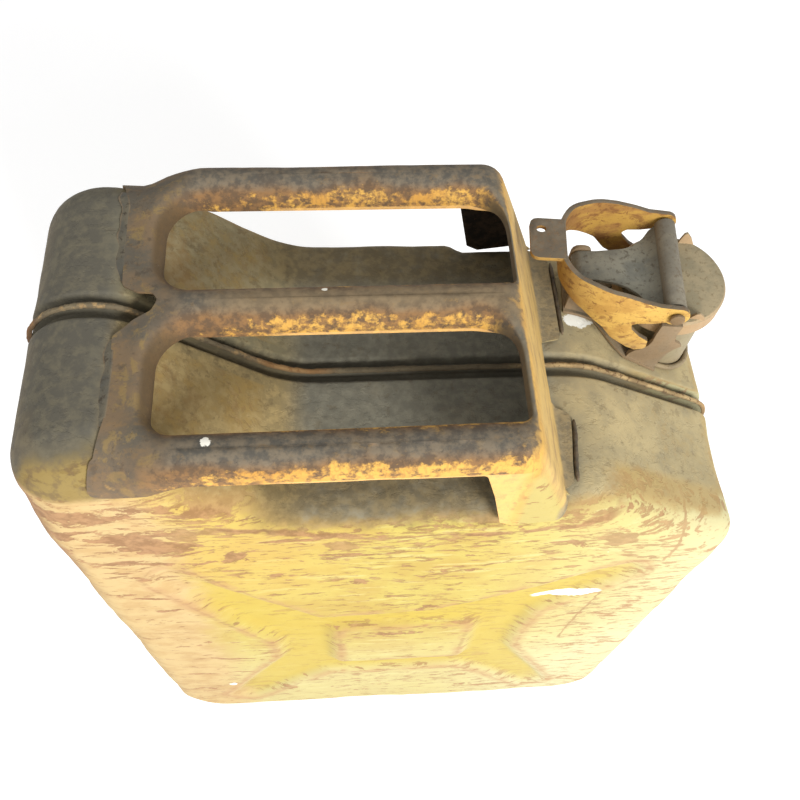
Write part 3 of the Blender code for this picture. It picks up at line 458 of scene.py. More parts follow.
def edge_radius(loop, side):
    """Edge rounding: wider at the shoulder, tight on the far side of the recess."""
    x, z = loop[:, 0], loop[:, 1]
    radius = EDGE_R + 7.0 * smooth(395, 435, z) * smooth(-88, -118, x)
    if side > 0:
        radius = radius - 10.0 * smooth(370, 395, z) * smooth(-124, -92, x) * smooth(38.5, 27, x)
    return radius


def emboss_depth(points):
    """Depth of the channels at (x, z), and how far each point is inside them."""
    def signed(loop):
        return np.where(inside([loop], points), 1, -1) * nearest_edge(loop, points)
    into = np.minimum(signed(CHANNEL_LOOP), -signed(BOX_LOOP))
    from_middle = np.hypot(points[:, 0] - 2, points[:, 1] - 185)
    fade = 1 - 0.5 * smooth(150, 205, from_middle)
    return EMBOSS * smooth(-2.5, 8.5, into) * fade, into


def store(obj, name, values):
    attribute = obj.data.attributes.new(name, "FLOAT", "POINT")
    attribute.data.foreach_set("value", np.asarray(values, np.float32))


def shell_half(name, side, material):
    """One shell; side is -1 near and 1 far."""
    loop = outline(FINE_CORNERS, 3.5)
    normals = normals_of(loop)
    sink = seam_sink(normals)
    radius = edge_radius(loop, side)
    flat_end = HALF_WID - EDGE_R
    rows = []

    def add_row(inset, y):
        points = loop - normals * inset[:, None]
        rows.append(xyz(points[:, 0], side * y, points[:, 1]))

    section = fillet(RIM_SECTION, RIM_R, 5, closed=False)
    for y, inset in split_long(section, 6.0, closed=False):
        squeeze = 1 - smooth(8.0, flat_end, y) * (radius - EDGE_R) / flat_end
        add_row(inset + sink * (1 - float(smooth(4.8, 8.5, y))), y * squeeze)
    for angle in np.linspace(0, math.pi / 2, 14)[1:]:
        add_row(radius * (1 - math.cos(angle)), HALF_WID - radius + radius * math.sin(angle))
    faces = quads(len(rows), len(loop))
    base = len(rows) * len(loop)

    # large face, filled with staggered points
    edge = loop - normals * radius[:, None]
    gap = 3.2
    grid = np.array([(x + (gap / 2 if k % 2 else 0), z)
                     for k, z in enumerate(np.arange(5, 466, gap))
                     for x in np.arange(-160, 160.1, gap)])
    grid = grid[inside([edge], grid)]
    grid = grid[nearest_edge(edge, grid) > gap * 0.55]
    points, tris = triangulate([edge], grid)
    depth, _ = emboss_depth(points)
    rows.append(xyz(points[:, 0], side * (HALF_WID - depth), points[:, 1]))
    faces += [[base + t for t in tri] for tri in tris]
    obj = mesh_object(name, np.vstack(rows), faces, material)

    with editing(obj) as mesh:
        face_out(mesh, lambda vector: vector.y * side)
        flat = np.array([(v.co.x / MM, v.co.z / MM, abs(v.co.y) / MM) for v in mesh.verts])
        for vert in mesh.verts:
            point = vert.co / MM
            share = float(np.clip((abs(point.y) - 9.0) / 8.0, 0, 1))
            if share > 0:
                # broad dents, smaller ones, and a fine unevenness
                dent = (max(0.0, lump(point, 0.013, 3.1 * side) + 0.10) * 2.2
                        + max(0.0, lump(point, 0.041, 7.7) + 0.05) * 0.75
                        + (lump(point, 0.12, 1.3) + 0.5) * 0.16)
                vert.co += vert.normal * (-dent * share * MM)
    depth, into = emboss_depth(flat[:, :2])
    on_face = flat[:, 2] > HALF_WID - 6
    store(obj, "groove", np.where(on_face, depth / EMBOSS, 0))
    store(obj, "brink", np.where(on_face, np.exp(-((into + 3.5) / 4.5) ** 2), 0))
    thicken(obj, WALL)
    return obj


def far_shell(material):
    """The far shell, bored for the filler neck."""
    shell = shell_half("look_shell_far", 1, material)
    bore = region_sheet("look_cutter", [circle(NECK_X, NECK_Y, 24.35, 72)],
                        lambda x, y, z: (x, y, z), (440.0, 335.0), material)
    boolean(shell, bore, "DIFFERENCE")
    return shell


# section of the seam bead: (y, inset from the outline)
BEAD_SECTION = [(-1.7, 0.75), (1.7, 0.75), (1.75, 0.3), (1.35, -0.3),
                (0.55, -0.72), (-0.6, -0.66), (-1.4, -0.25), (-1.75, 0.3)]


def seam_bead(name, material):
    loop = outline(FINE_CORNERS, 2.2)
    normals = normals_of(loop)
    sink = seam_sink(normals)
    ends = 1.1 * smooth(0.7, 1.0, np.abs(normals[:, 0]))
    steps = np.linalg.norm(np.diff(loop, axis=0), axis=1)
    run = np.concatenate([[0], np.cumsum(steps)])
    verts = []
    for k, (y, depth) in enumerate(BEAD_SECTION):
        crest = depth < 0.5
        for i in range(len(loop)):
            wave = lump((run[i], 0, 0), 0.16, 5.0)
            grain = lump((run[i], k * 7.0, 0), 0.55, 9.0)
            if crest:
                rise = ends[i] + min(0.35 * wave + 0.28 * grain - 0.18, 0.05)
                shift = 0.42 * lump((run[i], 3, 0), 0.09, 1.0)
            else:
                rise = 0.0
                shift = 0.1 * wave
            point = loop[i] - normals[i] * (depth + sink[i] - rise)
            verts.append([point[0], y * (0.86 + 0.32 * grain) + shift, point[1]])
    faces = quads(len(BEAD_SECTION), len(loop), wrap_rows=True, order=(0, 3, 2, 1))
    return solid_object(name, verts, faces, material)


# ---------------------------------------------------------------- handle
# Middle sheet, by distance along: flat, bend, sloping leg, and a foot flange on the deck.
BEND_AT, BEND_R, LEG_ANGLE = 40.0, 12.0, math.radians(69.0)
BEND_END = 54.45                # last column of points in the bend
FOOT_R = 4.0
LEG_END_Z = 411.87
LEG_AT = BEND_AT + BEND_R * LEG_ANGLE
LEG_TOP_Z = HANDLE_Z - BEND_R * (1 - math.cos(LEG_ANGLE))
LEG_LEN = (LEG_TOP_Z - LEG_END_Z) / math.sin(LEG_ANGLE)
LEG_END = LEG_AT + LEG_LEN
FOOT_FLAT = LEG_END + FOOT_R * LEG_ANGLE
SIDE_END = LEG_END + 4.0
CROWN_Y = HALF_WID - BAR_R      # where the outer rolled edges start

# the pressing's left end wraps the shoulder's rounding
WRAP_R, WRAP_Y = 27.2, 57.5
WRAP_START, WRAP_END = math.asin((CROWN_Y - WRAP_Y) / WRAP_R), math.radians(66)

# each window: x from, x to, y from, y to, corner radii from the left near corner round
WINDOWS = [(-111.0, 47.5, -62.0, -10.25, (10, 5, 20, 20)),
           (-111.0, 51.5, 10.25, 62.0, (14, 5, 22, 20))]

# left edge of the pressing (along, y), with a notch in the middle
LEFT_NEAR = [(-131.5, -72.5), (-130.0, -66), (-127.8, -56), (-127.5, -30), (-128.5, -16)]
LEFT_NOTCH = [(-120, -8.5), (-112.5, -5), (-110.0, 0.5), (-112.5, 4.6), (-120, 6.4)]
LEFT_FAR = [(-126.5, 10.5), (-127.5, 30), (-127.8, 56), (-130.0, 66), (-131.5, 72.5)]
LEFT_R = [0, 8, 8, 6, 4, 6, 3, 3, 3, 6, 3, 6, 8, 8, 0]

# bottom of an outer side (x, z), and corner radii with its two end points
SIDE_LOW = [(-135.2, 449.8), (-132.8, 448.0), (-126.0, 447.3), (-112.0, 448.0),
            (-104.0, 452.0), (-97.0, 455.6), (27.3, 456.3), (33.2, 434.0), (38.4, 409.0),
            (39.6, 403.0), (46.0, 399.0)]
SIDE_LOW_R = [0, 1.5, 2, 5, 6, 5, 8, 2.5, 12, 3, 2, 2, 0]


def bend_angle(along):
    return np.clip((along - BEND_AT) / BEND_R, 0, LEG_ANGLE)


def handle_path(along, foot=True):
    """(x, z) of the middle sheet's outer surface; without foot the leg runs straight on."""
    bend = bend_angle(along)
    run = np.clip(along - BEND_AT - BEND_R * LEG_ANGLE, 0, LEG_LEN if foot else 1e9)
    x = np.minimum(along, BEND_AT) + BEND_R * np.sin(bend) + run * math.cos(LEG_ANGLE)
    z = HANDLE_Z - 1.2 * smooth(-108, -126, along) + 1.0 * smooth(-129, -135, along)
    z = z - BEND_R * (1 - np.cos(bend)) - run * math.sin(LEG_ANGLE)
    if foot:
        lean = LEG_ANGLE - np.clip((along - LEG_END) / FOOT_R, 0, LEG_ANGLE)
        x = x + FOOT_R * (math.sin(LEG_ANGLE) - np.sin(lean)) + np.maximum(along - FOOT_FLAT, 0)
        z = z - FOOT_R * (np.cos(lean) - math.cos(LEG_ANGLE))
    return x, z


def foot_reach(y):
    """How far the flat of the foot flange runs past its bend."""
    return np.where(y > 0, 7.0, 2.0 + 3.0 * smooth(-66, -32, y))


def foot_width(y):
    """Length of the foot flange past the leg, zero over the seam groove."""
    far = smooth(11, 15, y) * (1 - smooth(66, 71, y))
    near = smooth(24, 30, -y) * (1 - smooth(66, 71, -y))
    return (FOOT_FLAT - LEG_END + foot_reach(y)) * np.maximum(far, near)


def wrap_share(along):
    return smooth(-94, -124, along)


def wrap_drop(along, y):
    """How far the middle sheet falls towards its sides at the shoulder end."""
    out = np.clip(np.abs(y) - WRAP_Y, 0, 20)
    return wrap_share(along) * (WRAP_R - np.sqrt(WRAP_R ** 2 - out ** 2))


def side_y(x, z):
    wrap = wrap_share(x)
    return ((1 - wrap) * HALF_WID + wrap * (WRAP_Y + WRAP_R * math.sin(WRAP_END))
            + wrap * 0.15 * np.clip(452.0 - z, 0, 5))


def window_loop(window, grow, segments):
    """Window outline grown outward, half as far at the leg end and near side."""
    x0, x1, y0, y1, radii = window
    half = 0.5 * grow
    corners = [(x0 - grow, y0 - grow), (x1 + half, y0 - grow),
               (x1 + half, y1 + grow), (x0 - grow, y1 + grow)]
    growth = (grow, 0.7 * grow, 0.8 * grow, grow)
    return fillet(corners, [r + g for r, g in zip(radii, growth)], segments)


def window_ring(window, grow, depth, segments):
    """One ring of a window's rolled rim; the rim is shallower along the leg."""
    along, y = window_loop(window, grow, segments).T
    x, z = handle_path(along)
    share = 1 - 0.45 * smooth(window[1] - 16, window[1], along)
    span = max(depth - BAR_R, 0) / (BAR_DEPTH - BAR_R)
    share = share * (1 - 0.2 * span * smooth(-88, -100, along))
    return xyz(x, y, z - wrap_drop(along, y) - depth * share)


def side_strip(columns, share, inset, depth, side):
    """One line along an outer rolled edge; share runs from 0 at the crown to 1."""
    end = SIDE_END + 4.0 * math.sin(math.pi * share * 0.75)
    left = -131.5 - 4.0 * math.sqrt(share)
    along = np.array([left] + columns + [end])
    x, z = handle_path(along, foot=False)
    bend = bend_angle(along)
    wrap = wrap_share(along)
    angle = WRAP_START + (WRAP_END - WRAP_START) * share
    y = (1 - wrap) * (HALF_WID - inset) + wrap * (WRAP_Y + WRAP_R * math.sin(angle))
    drop = (1 - wrap) * depth + wrap * WRAP_R * (1 - math.cos(angle))
    return xyz(x - np.sin(bend) * drop, side * y, z - np.cos(bend) * drop)


def handle_top(columns, step, segments):
    """Middle sheet between the outer edges and the windows."""
    flat = list(np.arange(-124, 40, step))
    bend = list(np.linspace(BEND_AT, BEND_END, 6))
    left = fillet(LEFT_NEAR + LEFT_NOTCH + LEFT_FAR, LEFT_R, 4, closed=False)
    left = split_long(left, step, closed=False)
    right_y = np.concatenate([np.linspace(-CROWN_Y, -22, 24), np.linspace(-20, 9, 9),
                              np.linspace(10, CROWN_Y, 30)])
    right = [(LEG_END + float(foot_width(y)) if abs(y) < 72.4 else SIDE_END, y)
             for y in right_y]
    outer = np.array([(c, -CROWN_Y) for c in columns] + right
                     + [(c, CROWN_Y) for c in columns[::-1]] + list(left[::-1]), float)
    loops = [outer] + [window_loop(window, BAR_R, segments) for window in WINDOWS]
    stations = (flat + bend + list(np.linspace(58, LEG_END - 2, 12))
                + list(np.linspace(LEG_END, FOOT_FLAT, 5)))
    grid = np.array([(c, y) for c in stations for y in np.arange(-70, 70.1, step)])
    grid = grid[np.min([nearest_edge(loop, grid) for loop in loops], axis=0) > 1.5]
    points, tris = triangulate(loops, grid)
    along, y = points.T
    x, z = handle_path(along)
    return xyz(x, y, z - wrap_drop(along, y)), tris


def handle_side(last, step):
    """Flat outer side in (x, z), below the last line of the rolled edge."""
    ends = last[:, ::2]
    low = fillet([tuple(ends[0])] + SIDE_LOW + [tuple(ends[-1])], SIDE_LOW_R, 4,
                 closed=False)[1:-1]
    loop = np.vstack([ends[::-1], split_long(low, step, closed=False)])
    grid = np.array([(x, z) for x in np.arange(-134, 76, step)
                     for z in np.arange(398, 462, step)])
    return triangulate([loop], grid[nearest_edge(loop, grid) > step * 0.4])


def build_handle(name, paint, under):
    """The whole pressing; its inside gets the second material, a painted shade."""
    step = 4.0
    segments = 14
    angles = np.linspace(0, math.pi / 2, (8) + 1)
    roll = [(BAR_R - BAR_R * math.sin(a), BAR_R - BAR_R * math.cos(a)) for a in angles]
    columns = (list(np.arange(-124, 40, step)) + list(np.linspace(BEND_AT, BEND_END, 6))
               + list(np.linspace(60, LEG_END - 1, int(50 / step))))
    top, tris = handle_top(columns, step, segments)
    verts = list(top)
    faces = [list(tri) for tri in tris]
    for window in WINDOWS:
        rim = roll + [(0.0, depth) for depth in (11.2, 12.4, 13.6, 14.3, BAR_DEPTH)]
        rings = [window_ring(window, grow, depth, segments) for grow, depth in rim]
        faces += quads(len(rings), len(rings[0]), base=len(verts), order=(1, 0, 3, 2))
        verts += list(np.vstack(rings))
    for side in (-1, 1):
        strips = [side_strip(columns, k / (len(roll) - 1), inset, depth, side)
                  for k, (inset, depth) in enumerate(roll)]
        faces += quads(len(strips), len(strips[0]), base=len(verts), wrap_columns=False,
                       order=(0, 3, 2, 1) if side < 0 else (1, 2, 3, 0))
        verts += list(np.vstack(strips))
        points, tris = handle_side(strips[-1], step)
        base = len(verts)
        verts += [[x, side * float(side_y(x, z)), z] for x, z in points]
        faces += [[base + t for t in (tri if side < 0 else tri[::-1])] for tri in tris]
    obj = mesh_object(name, verts, faces, paint, weld=0.05)
    obj.data.materials.append(under)
    with editing(obj) as mesh:
        face_out(mesh, lambda vector: vector.z)
        for vert in mesh.verts:
            point = vert.co / MM
            dent = (max(0.0, lump(point, 0.02, 4.4)) * 0.5
                    + max(0.0, lump(point, 0.09, 2.2)) * 0.22)
            vert.co += vert.normal * (-dent * MM)
            # the left end beds down on the shoulder
            bed = float(smooth(-110, -126, point.x))
            squeeze = 1.1 * bed * float(smooth(66, 76, abs(point.y)))
            vert.co.z -= 1.5 * bed * MM
            vert.co.y -= math.copysign(squeeze, point.y) * MM
    sheet = thicken(obj, HANDLE_T)
    sheet.material_offset = 1
    sheet.material_offset_rim = 0
    return obj


def foot_weld(name, start, end, material):
    """Weld along the outer edge of a foot flange; its width and height wander."""
    y = np.linspace(start + 0.6, end - 0.6, 8)
    x = handle_path(FOOT_FLAT + foot_reach(y))[0] + 1.7
    path = split_long(xyz(x, y, deck_height(x) + 1.2), 1.6, closed=False)
    obj = tube(name, path, 1.3, 10, material)
    for vert in obj.data.vertices:
        point = vert.co / MM
        i = int(np.argmin(np.linalg.norm(path - np.array(point), axis=1)))
        centre = Vector(path[i])
        swell = 1.0 + 0.3 * lump((path[i][0], path[i][1], 0), 0.45, 2.0) - 0.12
        from_end = min(i, len(path) - 1 - i)
        swell *= 0.45 + 0.55 * min(1.0, from_end / 2.0)
        vert.co = (centre + (point - centre) * swell) * MM
    return obj


def shoulder_skin(x, y):
    """Height of the shell under the left edge of the pressing."""
    radius = EDGE_R + 7.0 * float(smooth(-88, -118, x))
    out = max(0.0, abs(y) - (HALF_WID - radius))
    return float(deck_height(x)) - (radius - math.sqrt(max(radius * radius - out * out, 0.0)))


def shoulder_weld(name, start, end, material):
    """Dressed weld that closes the step from the pressing's left edge to the shell."""
    line = fillet(LEFT_NEAR + LEFT_FAR, [0, 8, 8, 6, 0, 0, 6, 8, 8, 0], 4, closed=False)
    line = split_long(line, 1.5, closed=False)
    line = line[(line[:, 1] >= start) & (line[:, 1] <= end)]
    # slope of the weld: (share of its reach, share of its rise)
    slope = ((0.0, 0.93), (0.2, 0.72), (0.45, 0.42), (0.7, 0.18), (1.0, 0.035))
    verts = []
    for i, (x, y) in enumerate(line):
        top = float(handle_path(x)[1] - wrap_drop(x, y)) - 1.45
        wave = lump((x, y, 0), 0.14, 3.0)
        grain = lump((x, y, 0), 0.5, 8.0)
        full = min(1.0, min(i, len(line) - 1 - i) / 5.0)
        reach = (3.2 + 1.4 * wave) * (0.35 + 0.65 * full)
        rise = max(0.25, top - shoulder_skin(x, y))
        verts += [[x + 1.6, y, top - 1.3], [x + 0.9, y, top - 0.05 - 0.5 * (1 - full)]]
        for out, height in slope:
            place_x = x - 0.2 - reach * out
            height = height * (0.4 + 0.6 * full) + (0.05 * grain if 0 < out < 1 else 0)
            z = shoulder_skin(place_x, y) + rise * height - 0.3 * out * out
            verts.append([place_x, y, z])
        verts += [[x - 0.1 - reach, y, shoulder_skin(x - reach, y) - 0.6],
                  [x + 0.4, y, shoulder_skin(x, y) - 0.5]]
    size = len(slope) + 4
    faces = quads(len(line), size)
    faces.append(list(range(size))[::-1])
    faces.append(list(range(len(verts) - size, len(verts))))
    return solid_object(name, verts, faces, material)


# ---------------------------------------------------------------- neck and bracket
def build_neck(name, material):
    def foot(x):
        return float(deck_height(x)) - 4.0
    profile = [(22.6, 415.2), (23.8, 416.9), (25.0, 416.9), (25.8, 415.4), (25.8, 412.8),
               (25.0, 411.4), (24.0, 411.2), (24.0, foot), (22.6, foot)]
    return revolve(name, profile, 96, material)


def build_neck_weld(name, material):
    """Bead round the neck that follows the deck and its far rounding."""
    path = circle(NECK_X, NECK_Y, 25.9, 90)
    path = xyz(path[:, 0], path[:, 1], deck_height(path[:, 0]) + 2.0)
    drop = np.maximum(path[:, 1] - (HALF_WID - EDGE_R), 0)
    path[:, 2] -= EDGE_R - np.sqrt(EDGE_R ** 2 - drop ** 2)
    obj = tube(name, path, 1.5, 10, material, closed=True)
    for vert in obj.data.vertices:
        vert.co.z -= 0.25 * MM * (1 + lump(vert.co / MM, 0.3, 3.0))
    return obj


# side view of a bracket cheek (x, z)
CHEEK = [(132.0, 425.0), (131.2, 417.0), (131.2, 411.0), (130.0, 406.5), (127.6, 403.2),
         (124.6, 400.4), (122.6, 396.6), (122.0, 388.0), (130.0, 382.0), (139.0, 377.0),
         (140.6, 390.0), (142.2, 399.0), (144.4, 404.6), (147.0, 407.6), (145.6, 409.4),
         (142.2, 411.6), (141.6, 418.0), (142.5, 425.0)]
# near edge of the bracket base (x, y from the middle line)
BASE_NEAR = [(86.5, -13.5), (103, -13.5), (115, -26.0), (121, -30.0), (140.6, -30.3)]
HINGE_EAR = [(87.2, 408.6), (103.0, 402.0), (97.5, 432.5), (88.0, 432.5)]


def build_bracket(name, material):
    """Saddle on the deck round the neck: base, two hinge ears and two cheeks."""
    far = [(x, -y) for x, y in BASE_NEAR[::-1]]
    bore = arc(NECK_X, 0, 28.0, -88, -272, 14)
    base = split_long(np.array(far[-1:] + BASE_NEAR + bore + far[:-1]), 9.0)
    grid = np.array([(x, y) for x in (91.0, 97.0, 103.0, 112.0) for y in (-12.0, -4.0, 4.0, 12.0)])
    body = region_sheet(name, [base], lambda x, y, lift: (x, y + NECK_Y, deck_under(x, y) + lift),
                        (2.3, 0.4), material, grid)
    ear = fillet(HINGE_EAR, [0, 0, 4, 4], 3)
    eye = circle(HINGE_X, HINGE_Z, 2.5, 12)
    grid = np.array([(x, z) for z in (408.0, 402.0, 396.0, 391.0, 386.0)
                     for x in (128.0, 133.0, 138.0)])
    for side, tail in ((-1, "a"), (1, "b")):
        def ear_plane(x, z, out):
            return x, NECK_Y + side * out, z

        def cheek_face(x, z, out):
            y = NECK_Y + side * (30.15 - 1.5 * smooth(408, 392, z) + out)
            return x, y, np.maximum(z, deck_under(x, 29.0 * side) + 1.3)

        boolean(body, region_sheet(name + "_ear" + tail, [ear, eye], ear_plane,
                                   (9.6, 11.6), material), "UNION")
        boolean(body, region_sheet(name + "_cheek" + tail, [np.array(CHEEK)], cheek_face,
                                   (-1.1, 1.0), material, grid), "UNION")
    return body


def headed_pin(name, x, z, half, radius, head_end, head_radius, material):
    """Pin along Y, centred on the closure's middle line, with a head at each end."""
    count = 28
    stations = [(-head_end, head_radius), (-half, head_radius), (-half, radius),
                (half, radius), (half, head_radius), (head_end, head_radius)]
    verts = []
    for y, ring in stations:
        verts += [[px, NECK_Y + y, pz] for px, pz in circle(x, z, ring, count)]
    faces = quads(len(stations), count)
    faces.append(list(range(count)))
    faces.append(list(range(len(verts) - count, len(verts))))
    return solid_object(name, verts, faces, material)


def build_vent_pipe(name, material):
    path = [(126.0, 40.0, 412.0), (126.0, 40.0, 396.0), (125.3, 40.0, 390.0),
            (122.5, 40.0, 385.5), (117.0, 40.0, 383.4), (110.0, 40.0, 383.0),
            (60.0, 40.0, 395.0), (0.0, 40.0, 398.0)]
    return tube(name, path, 3.6, 20, material, bore=2.6)


# ---------------------------------------------------------------- cap and strap
# middle of the strap between its two curls (x, z), and its half width by x
STRAP_RUN = [(100.0, 430.3), (108.0, 430.4), (114.0, 429.8), (120.0, 428.6), (126.0, 428.0),
             (129.5, 429.4)]
STRAP_X = [80, 97, 104, 110, 116, 121, 125, 128, 131, 160]
STRAP_HALF = [9.0, 9.0, 9.8, 11.0, 12.8, 16.0, 20.0, 24.5, 27.3, 27.3]


def build_strap(name, material):
    """Waisted plate curled round the hinge pin and the lever pin."""
    across = 5
    line = np.array(arc(HINGE_X, HINGE_Z, 3.6, -150, -270, 14) + STRAP_RUN
                    + arc(PIN_X, PIN_Z, 4.5, 197, -55, 18))
    normals = unit(np.gradient(line, axis=0))[:, ::-1] * (-1, 1)
    half = np.interp(line[:, 0], STRAP_X, STRAP_HALF)
    verts, faces = [], []
    for i in range(len(line)):
        for offset in (0.9, -0.9):
            x, z = line[i] + normals[i] * offset
            for k in range(across):
                verts.append([x, NECK_Y + half[i] * (2 * k / (across - 1) - 1), z])
    row = 2 * across
    last = (len(line) - 1) * row
    for a in range(0, last, row):
        b = a + row
        for k in range(across - 1):
            faces.append([a + k, b + k, b + k + 1, a + k + 1])
            top, beyond = a + across + k, b + across + k
            faces.append([top, top + 1, beyond + 1, beyond])
        faces.append([a, a + across, b + across, b])
        faces.append([a + across - 1, b + across - 1, b + row - 1, a + row - 1])
    for base in (0, last):
        for k in range(base, base + across - 1):
            faces.append([k, k + 1, across + k + 1, across + k])
    return solid_object(name, verts, faces, material)


def build_cap(name, material):
    """Domeless cap with two small leaning ears on its right side."""
    top = CAP_TOP
    profile = [(0, top - 1.5), (26.4, top - 1.5), (27.3, top - 2.4), (27.3, 413.6), (28.4, 413.6),
               (CAP_R, 414.2), (CAP_R, top - 1.6), (27.6, top - 0.3), (26.4, top), (0, top)]
    body = revolve(name, profile, 96, material)
    ear = np.array([(146.5, top - 0.9), (155.0, top - 0.9), (153.0, top + 3.0),
                    (150.2, top + 6.2), (148.6, top + 5.4), (147.2, top + 2.0)])
    for side, tail in ((-1, "a"), (1, "b")):
        def leaning(x, z, out):
            return x, NECK_Y + side * (out + (z - top) * 0.22), z
        boolean(body, region_sheet(name + "_ear" + tail, [ear], leaning, (23.6, 25.0), material),
                "UNION")
    return body


def build_inner_plate(name, material):
    profile = [(0, CAP_TOP - 4.4), (20.6, CAP_TOP - 4.4), (21.2, CAP_TOP - 3.4),
               (26.4, CAP_TOP - 3.3), (26.4, CAP_TOP - 1.8), (0, CAP_TOP - 1.8)]
    return revolve(name, profile, 80, material)


def build_gasket(name, material):
    profile = [(21.6, CAP_TOP - 3.8), (26.2, CAP_TOP - 3.7), (26.2, 417.2), (21.6, 417.2)]
    return revolve(name, profile, 80, material)


# ---------------------------------------------------------------- lever
BOW_X = 79.3                    # left end of the bow
LEVER_T = 2.5
# far half of the plan (x, y from the middle line), and corner radii
LEVER_PLAN = [(BOW_X, 0.0), (BOW_X, 12.0), (84.5, 22.0), (100.0, 28.6), (119.0, 30.15),
              (160.0, 30.15)]
LEVER_PLAN_R = [0, 12, 16, 30, 30, 0]
# bottom edge of an arm from the bow to the pin eye (x, z), and corner radii
LEVER_LOW = [(BOW_X, 437.0), (84.0, 434.0), (91.5, 429.0), (102.4, 420.8), (109.4, 411.8),
             (118.7, 405.4), (123.6, 402.9), (129.0, 404.6), (128.4, 411.2), (123.0, 415.0),
             (117.6, 421.0), (116.6, 424.2), (119.0, 426.2), (125.9, 426.8), (131.6, 428.2)]
LEVER_LOW_R = [0, 6, 12, 12, 12, 8, 3, 2.5, 1.0, 6, 2.5, 1.5, 1.5, 2, 0]
# top edge from the eye back to the bow (x, z)
LEVER_TOP = [(133.0, 439.9), (127.3, 440.4), (118.0, 443.4), (109.5, 446.0), (96.0, 448.6),
             (84.0, 450.0), (BOW_X, 450.0)]


def build_lever(name, material):
    """Strip cut to shape flat, bent round the bow, with a slotted tab at the bow."""
    step = 2.5
    plan = split_long(fillet(LEVER_PLAN, LEVER_PLAN_R, 5, closed=False), 12.0, closed=False)
    lengths = np.linalg.norm(np.diff(plan, axis=0), axis=1)
    run = np.concatenate([[0], np.cumsum(lengths)])

    # distance round the bow for an x on the far arm
    advancing = np.concatenate([[False], np.diff(plan[:, 0]) > 1e-6])
    known_x = np.concatenate([[BOW_X], plan[advancing, 0]])
    known_run = np.concatenate([[run[advancing][0] - 0.5], run[advancing]])

    def run_at(x):
        return np.interp(x, known_x, known_run)

    full_plan = np.vstack([plan[::-1] * (1, -1), plan[1:]])
    full_run = np.concatenate([-run[::-1], run[1:]])
    tangent = unit(np.gradient(full_plan, full_run, axis=0))

    def bent(along, z, offset):
        x, y, tx, ty = (np.interp(along, full_run, values)
                        for values in (*full_plan.T, *tangent.T))
        length = np.hypot(tx, ty)
        return x - ty / length * offset, y + tx / length * offset + NECK_Y, z

    low = fillet(LEVER_LOW, LEVER_LOW_R, 6, closed=False)
    half = np.array([tuple(p) for p in low] + arc(PIN_X, PIN_Z, 6.3, -130, 75, 12) + LEVER_TOP)
    half[:, 0] = run_at(half[:, 0])
    loop = split_long(np.vstack([half, half[::-1] * (-1, 1)]), step * 1.2)
    hole = circle(float(run_at(PIN_X)), PIN_Z, 2.9, 12)
    reach = float(run_at(108.0))
    grid = np.array([(v, z) for v in np.arange(-reach, reach + 0.1, step) for z in (441.0, 445.5)])
    body = region_sheet(name, [loop, hole, hole * (-1, 1)], bent, (LEVER_T / 2, -LEVER_T / 2),
                        material, grid)
    tab = fillet([(62.6, -12.4), (79.6, -12.4), (79.6, 12.4), (62.6, 12.4)], [4, 0, 0, 4], 3)
    slot = fillet([(65.8, 3.6), (70.8, 3.6), (70.8, 7.6), (65.8, 7.6)], [1.9] * 4, 2)
    boolean(body, region_sheet(name + "_tab", [tab, slot], lambda x, y, z: (x, y + NECK_Y, z),
                               (450.2, 448.0), material), "UNION")
    return body


# ---------------------------------------------------------------- shader tools
class Value:
    """A shader value. Arithmetic adds Math nodes; a | b is the larger of the two."""

    def __init__(self, graph, socket):
        self.graph = graph
        self.socket = socket

    def __add__(self, other):
        return self.graph.math("ADD", self, other)

    def __radd__(self, other):
        return self.graph.math("ADD", other, self)

    def __sub__(self, other):
        return self.graph.math("SUBTRACT", self, other)

    def __rsub__(self, other):
        return self.graph.math("SUBTRACT", other, self)

    def __mul__(self, other):
        return self.graph.math("MULTIPLY", self, other)

    def __or__(self, other):
        return self.graph.math("MAXIMUM", self, other)

    def __abs__(self):
        return self.graph.math("ABSOLUTE", self)

    def swing(self, reach, middle=0.5):
        """A noise centred on zero and scaled to reach."""
        return (self - middle) * reach

    def ramp(self, start, end, low=0.0, high=1.0):
        """Eased step: low at start, high at end; start may be the larger."""
        node = self.graph.node("MapRange")
        node.interpolation_type = "SMOOTHSTEP"
        self.graph.put(node.inputs["Value"], self)
        if start > end:
            start, end, low, high = end, start, high, low
        for name, number in (("From Min", start), ("From Max", end),
                             ("To Min", low), ("To Max", high)):
            node.inputs[name].default_value = number
        return Value(self.graph, node.outputs[0])

    def lay(self, colour, mask, part=None):
        """This colour with another over it where mask says, at part of full strength."""
        return self.graph.mix(mask if part is None else mask * part, self, colour)


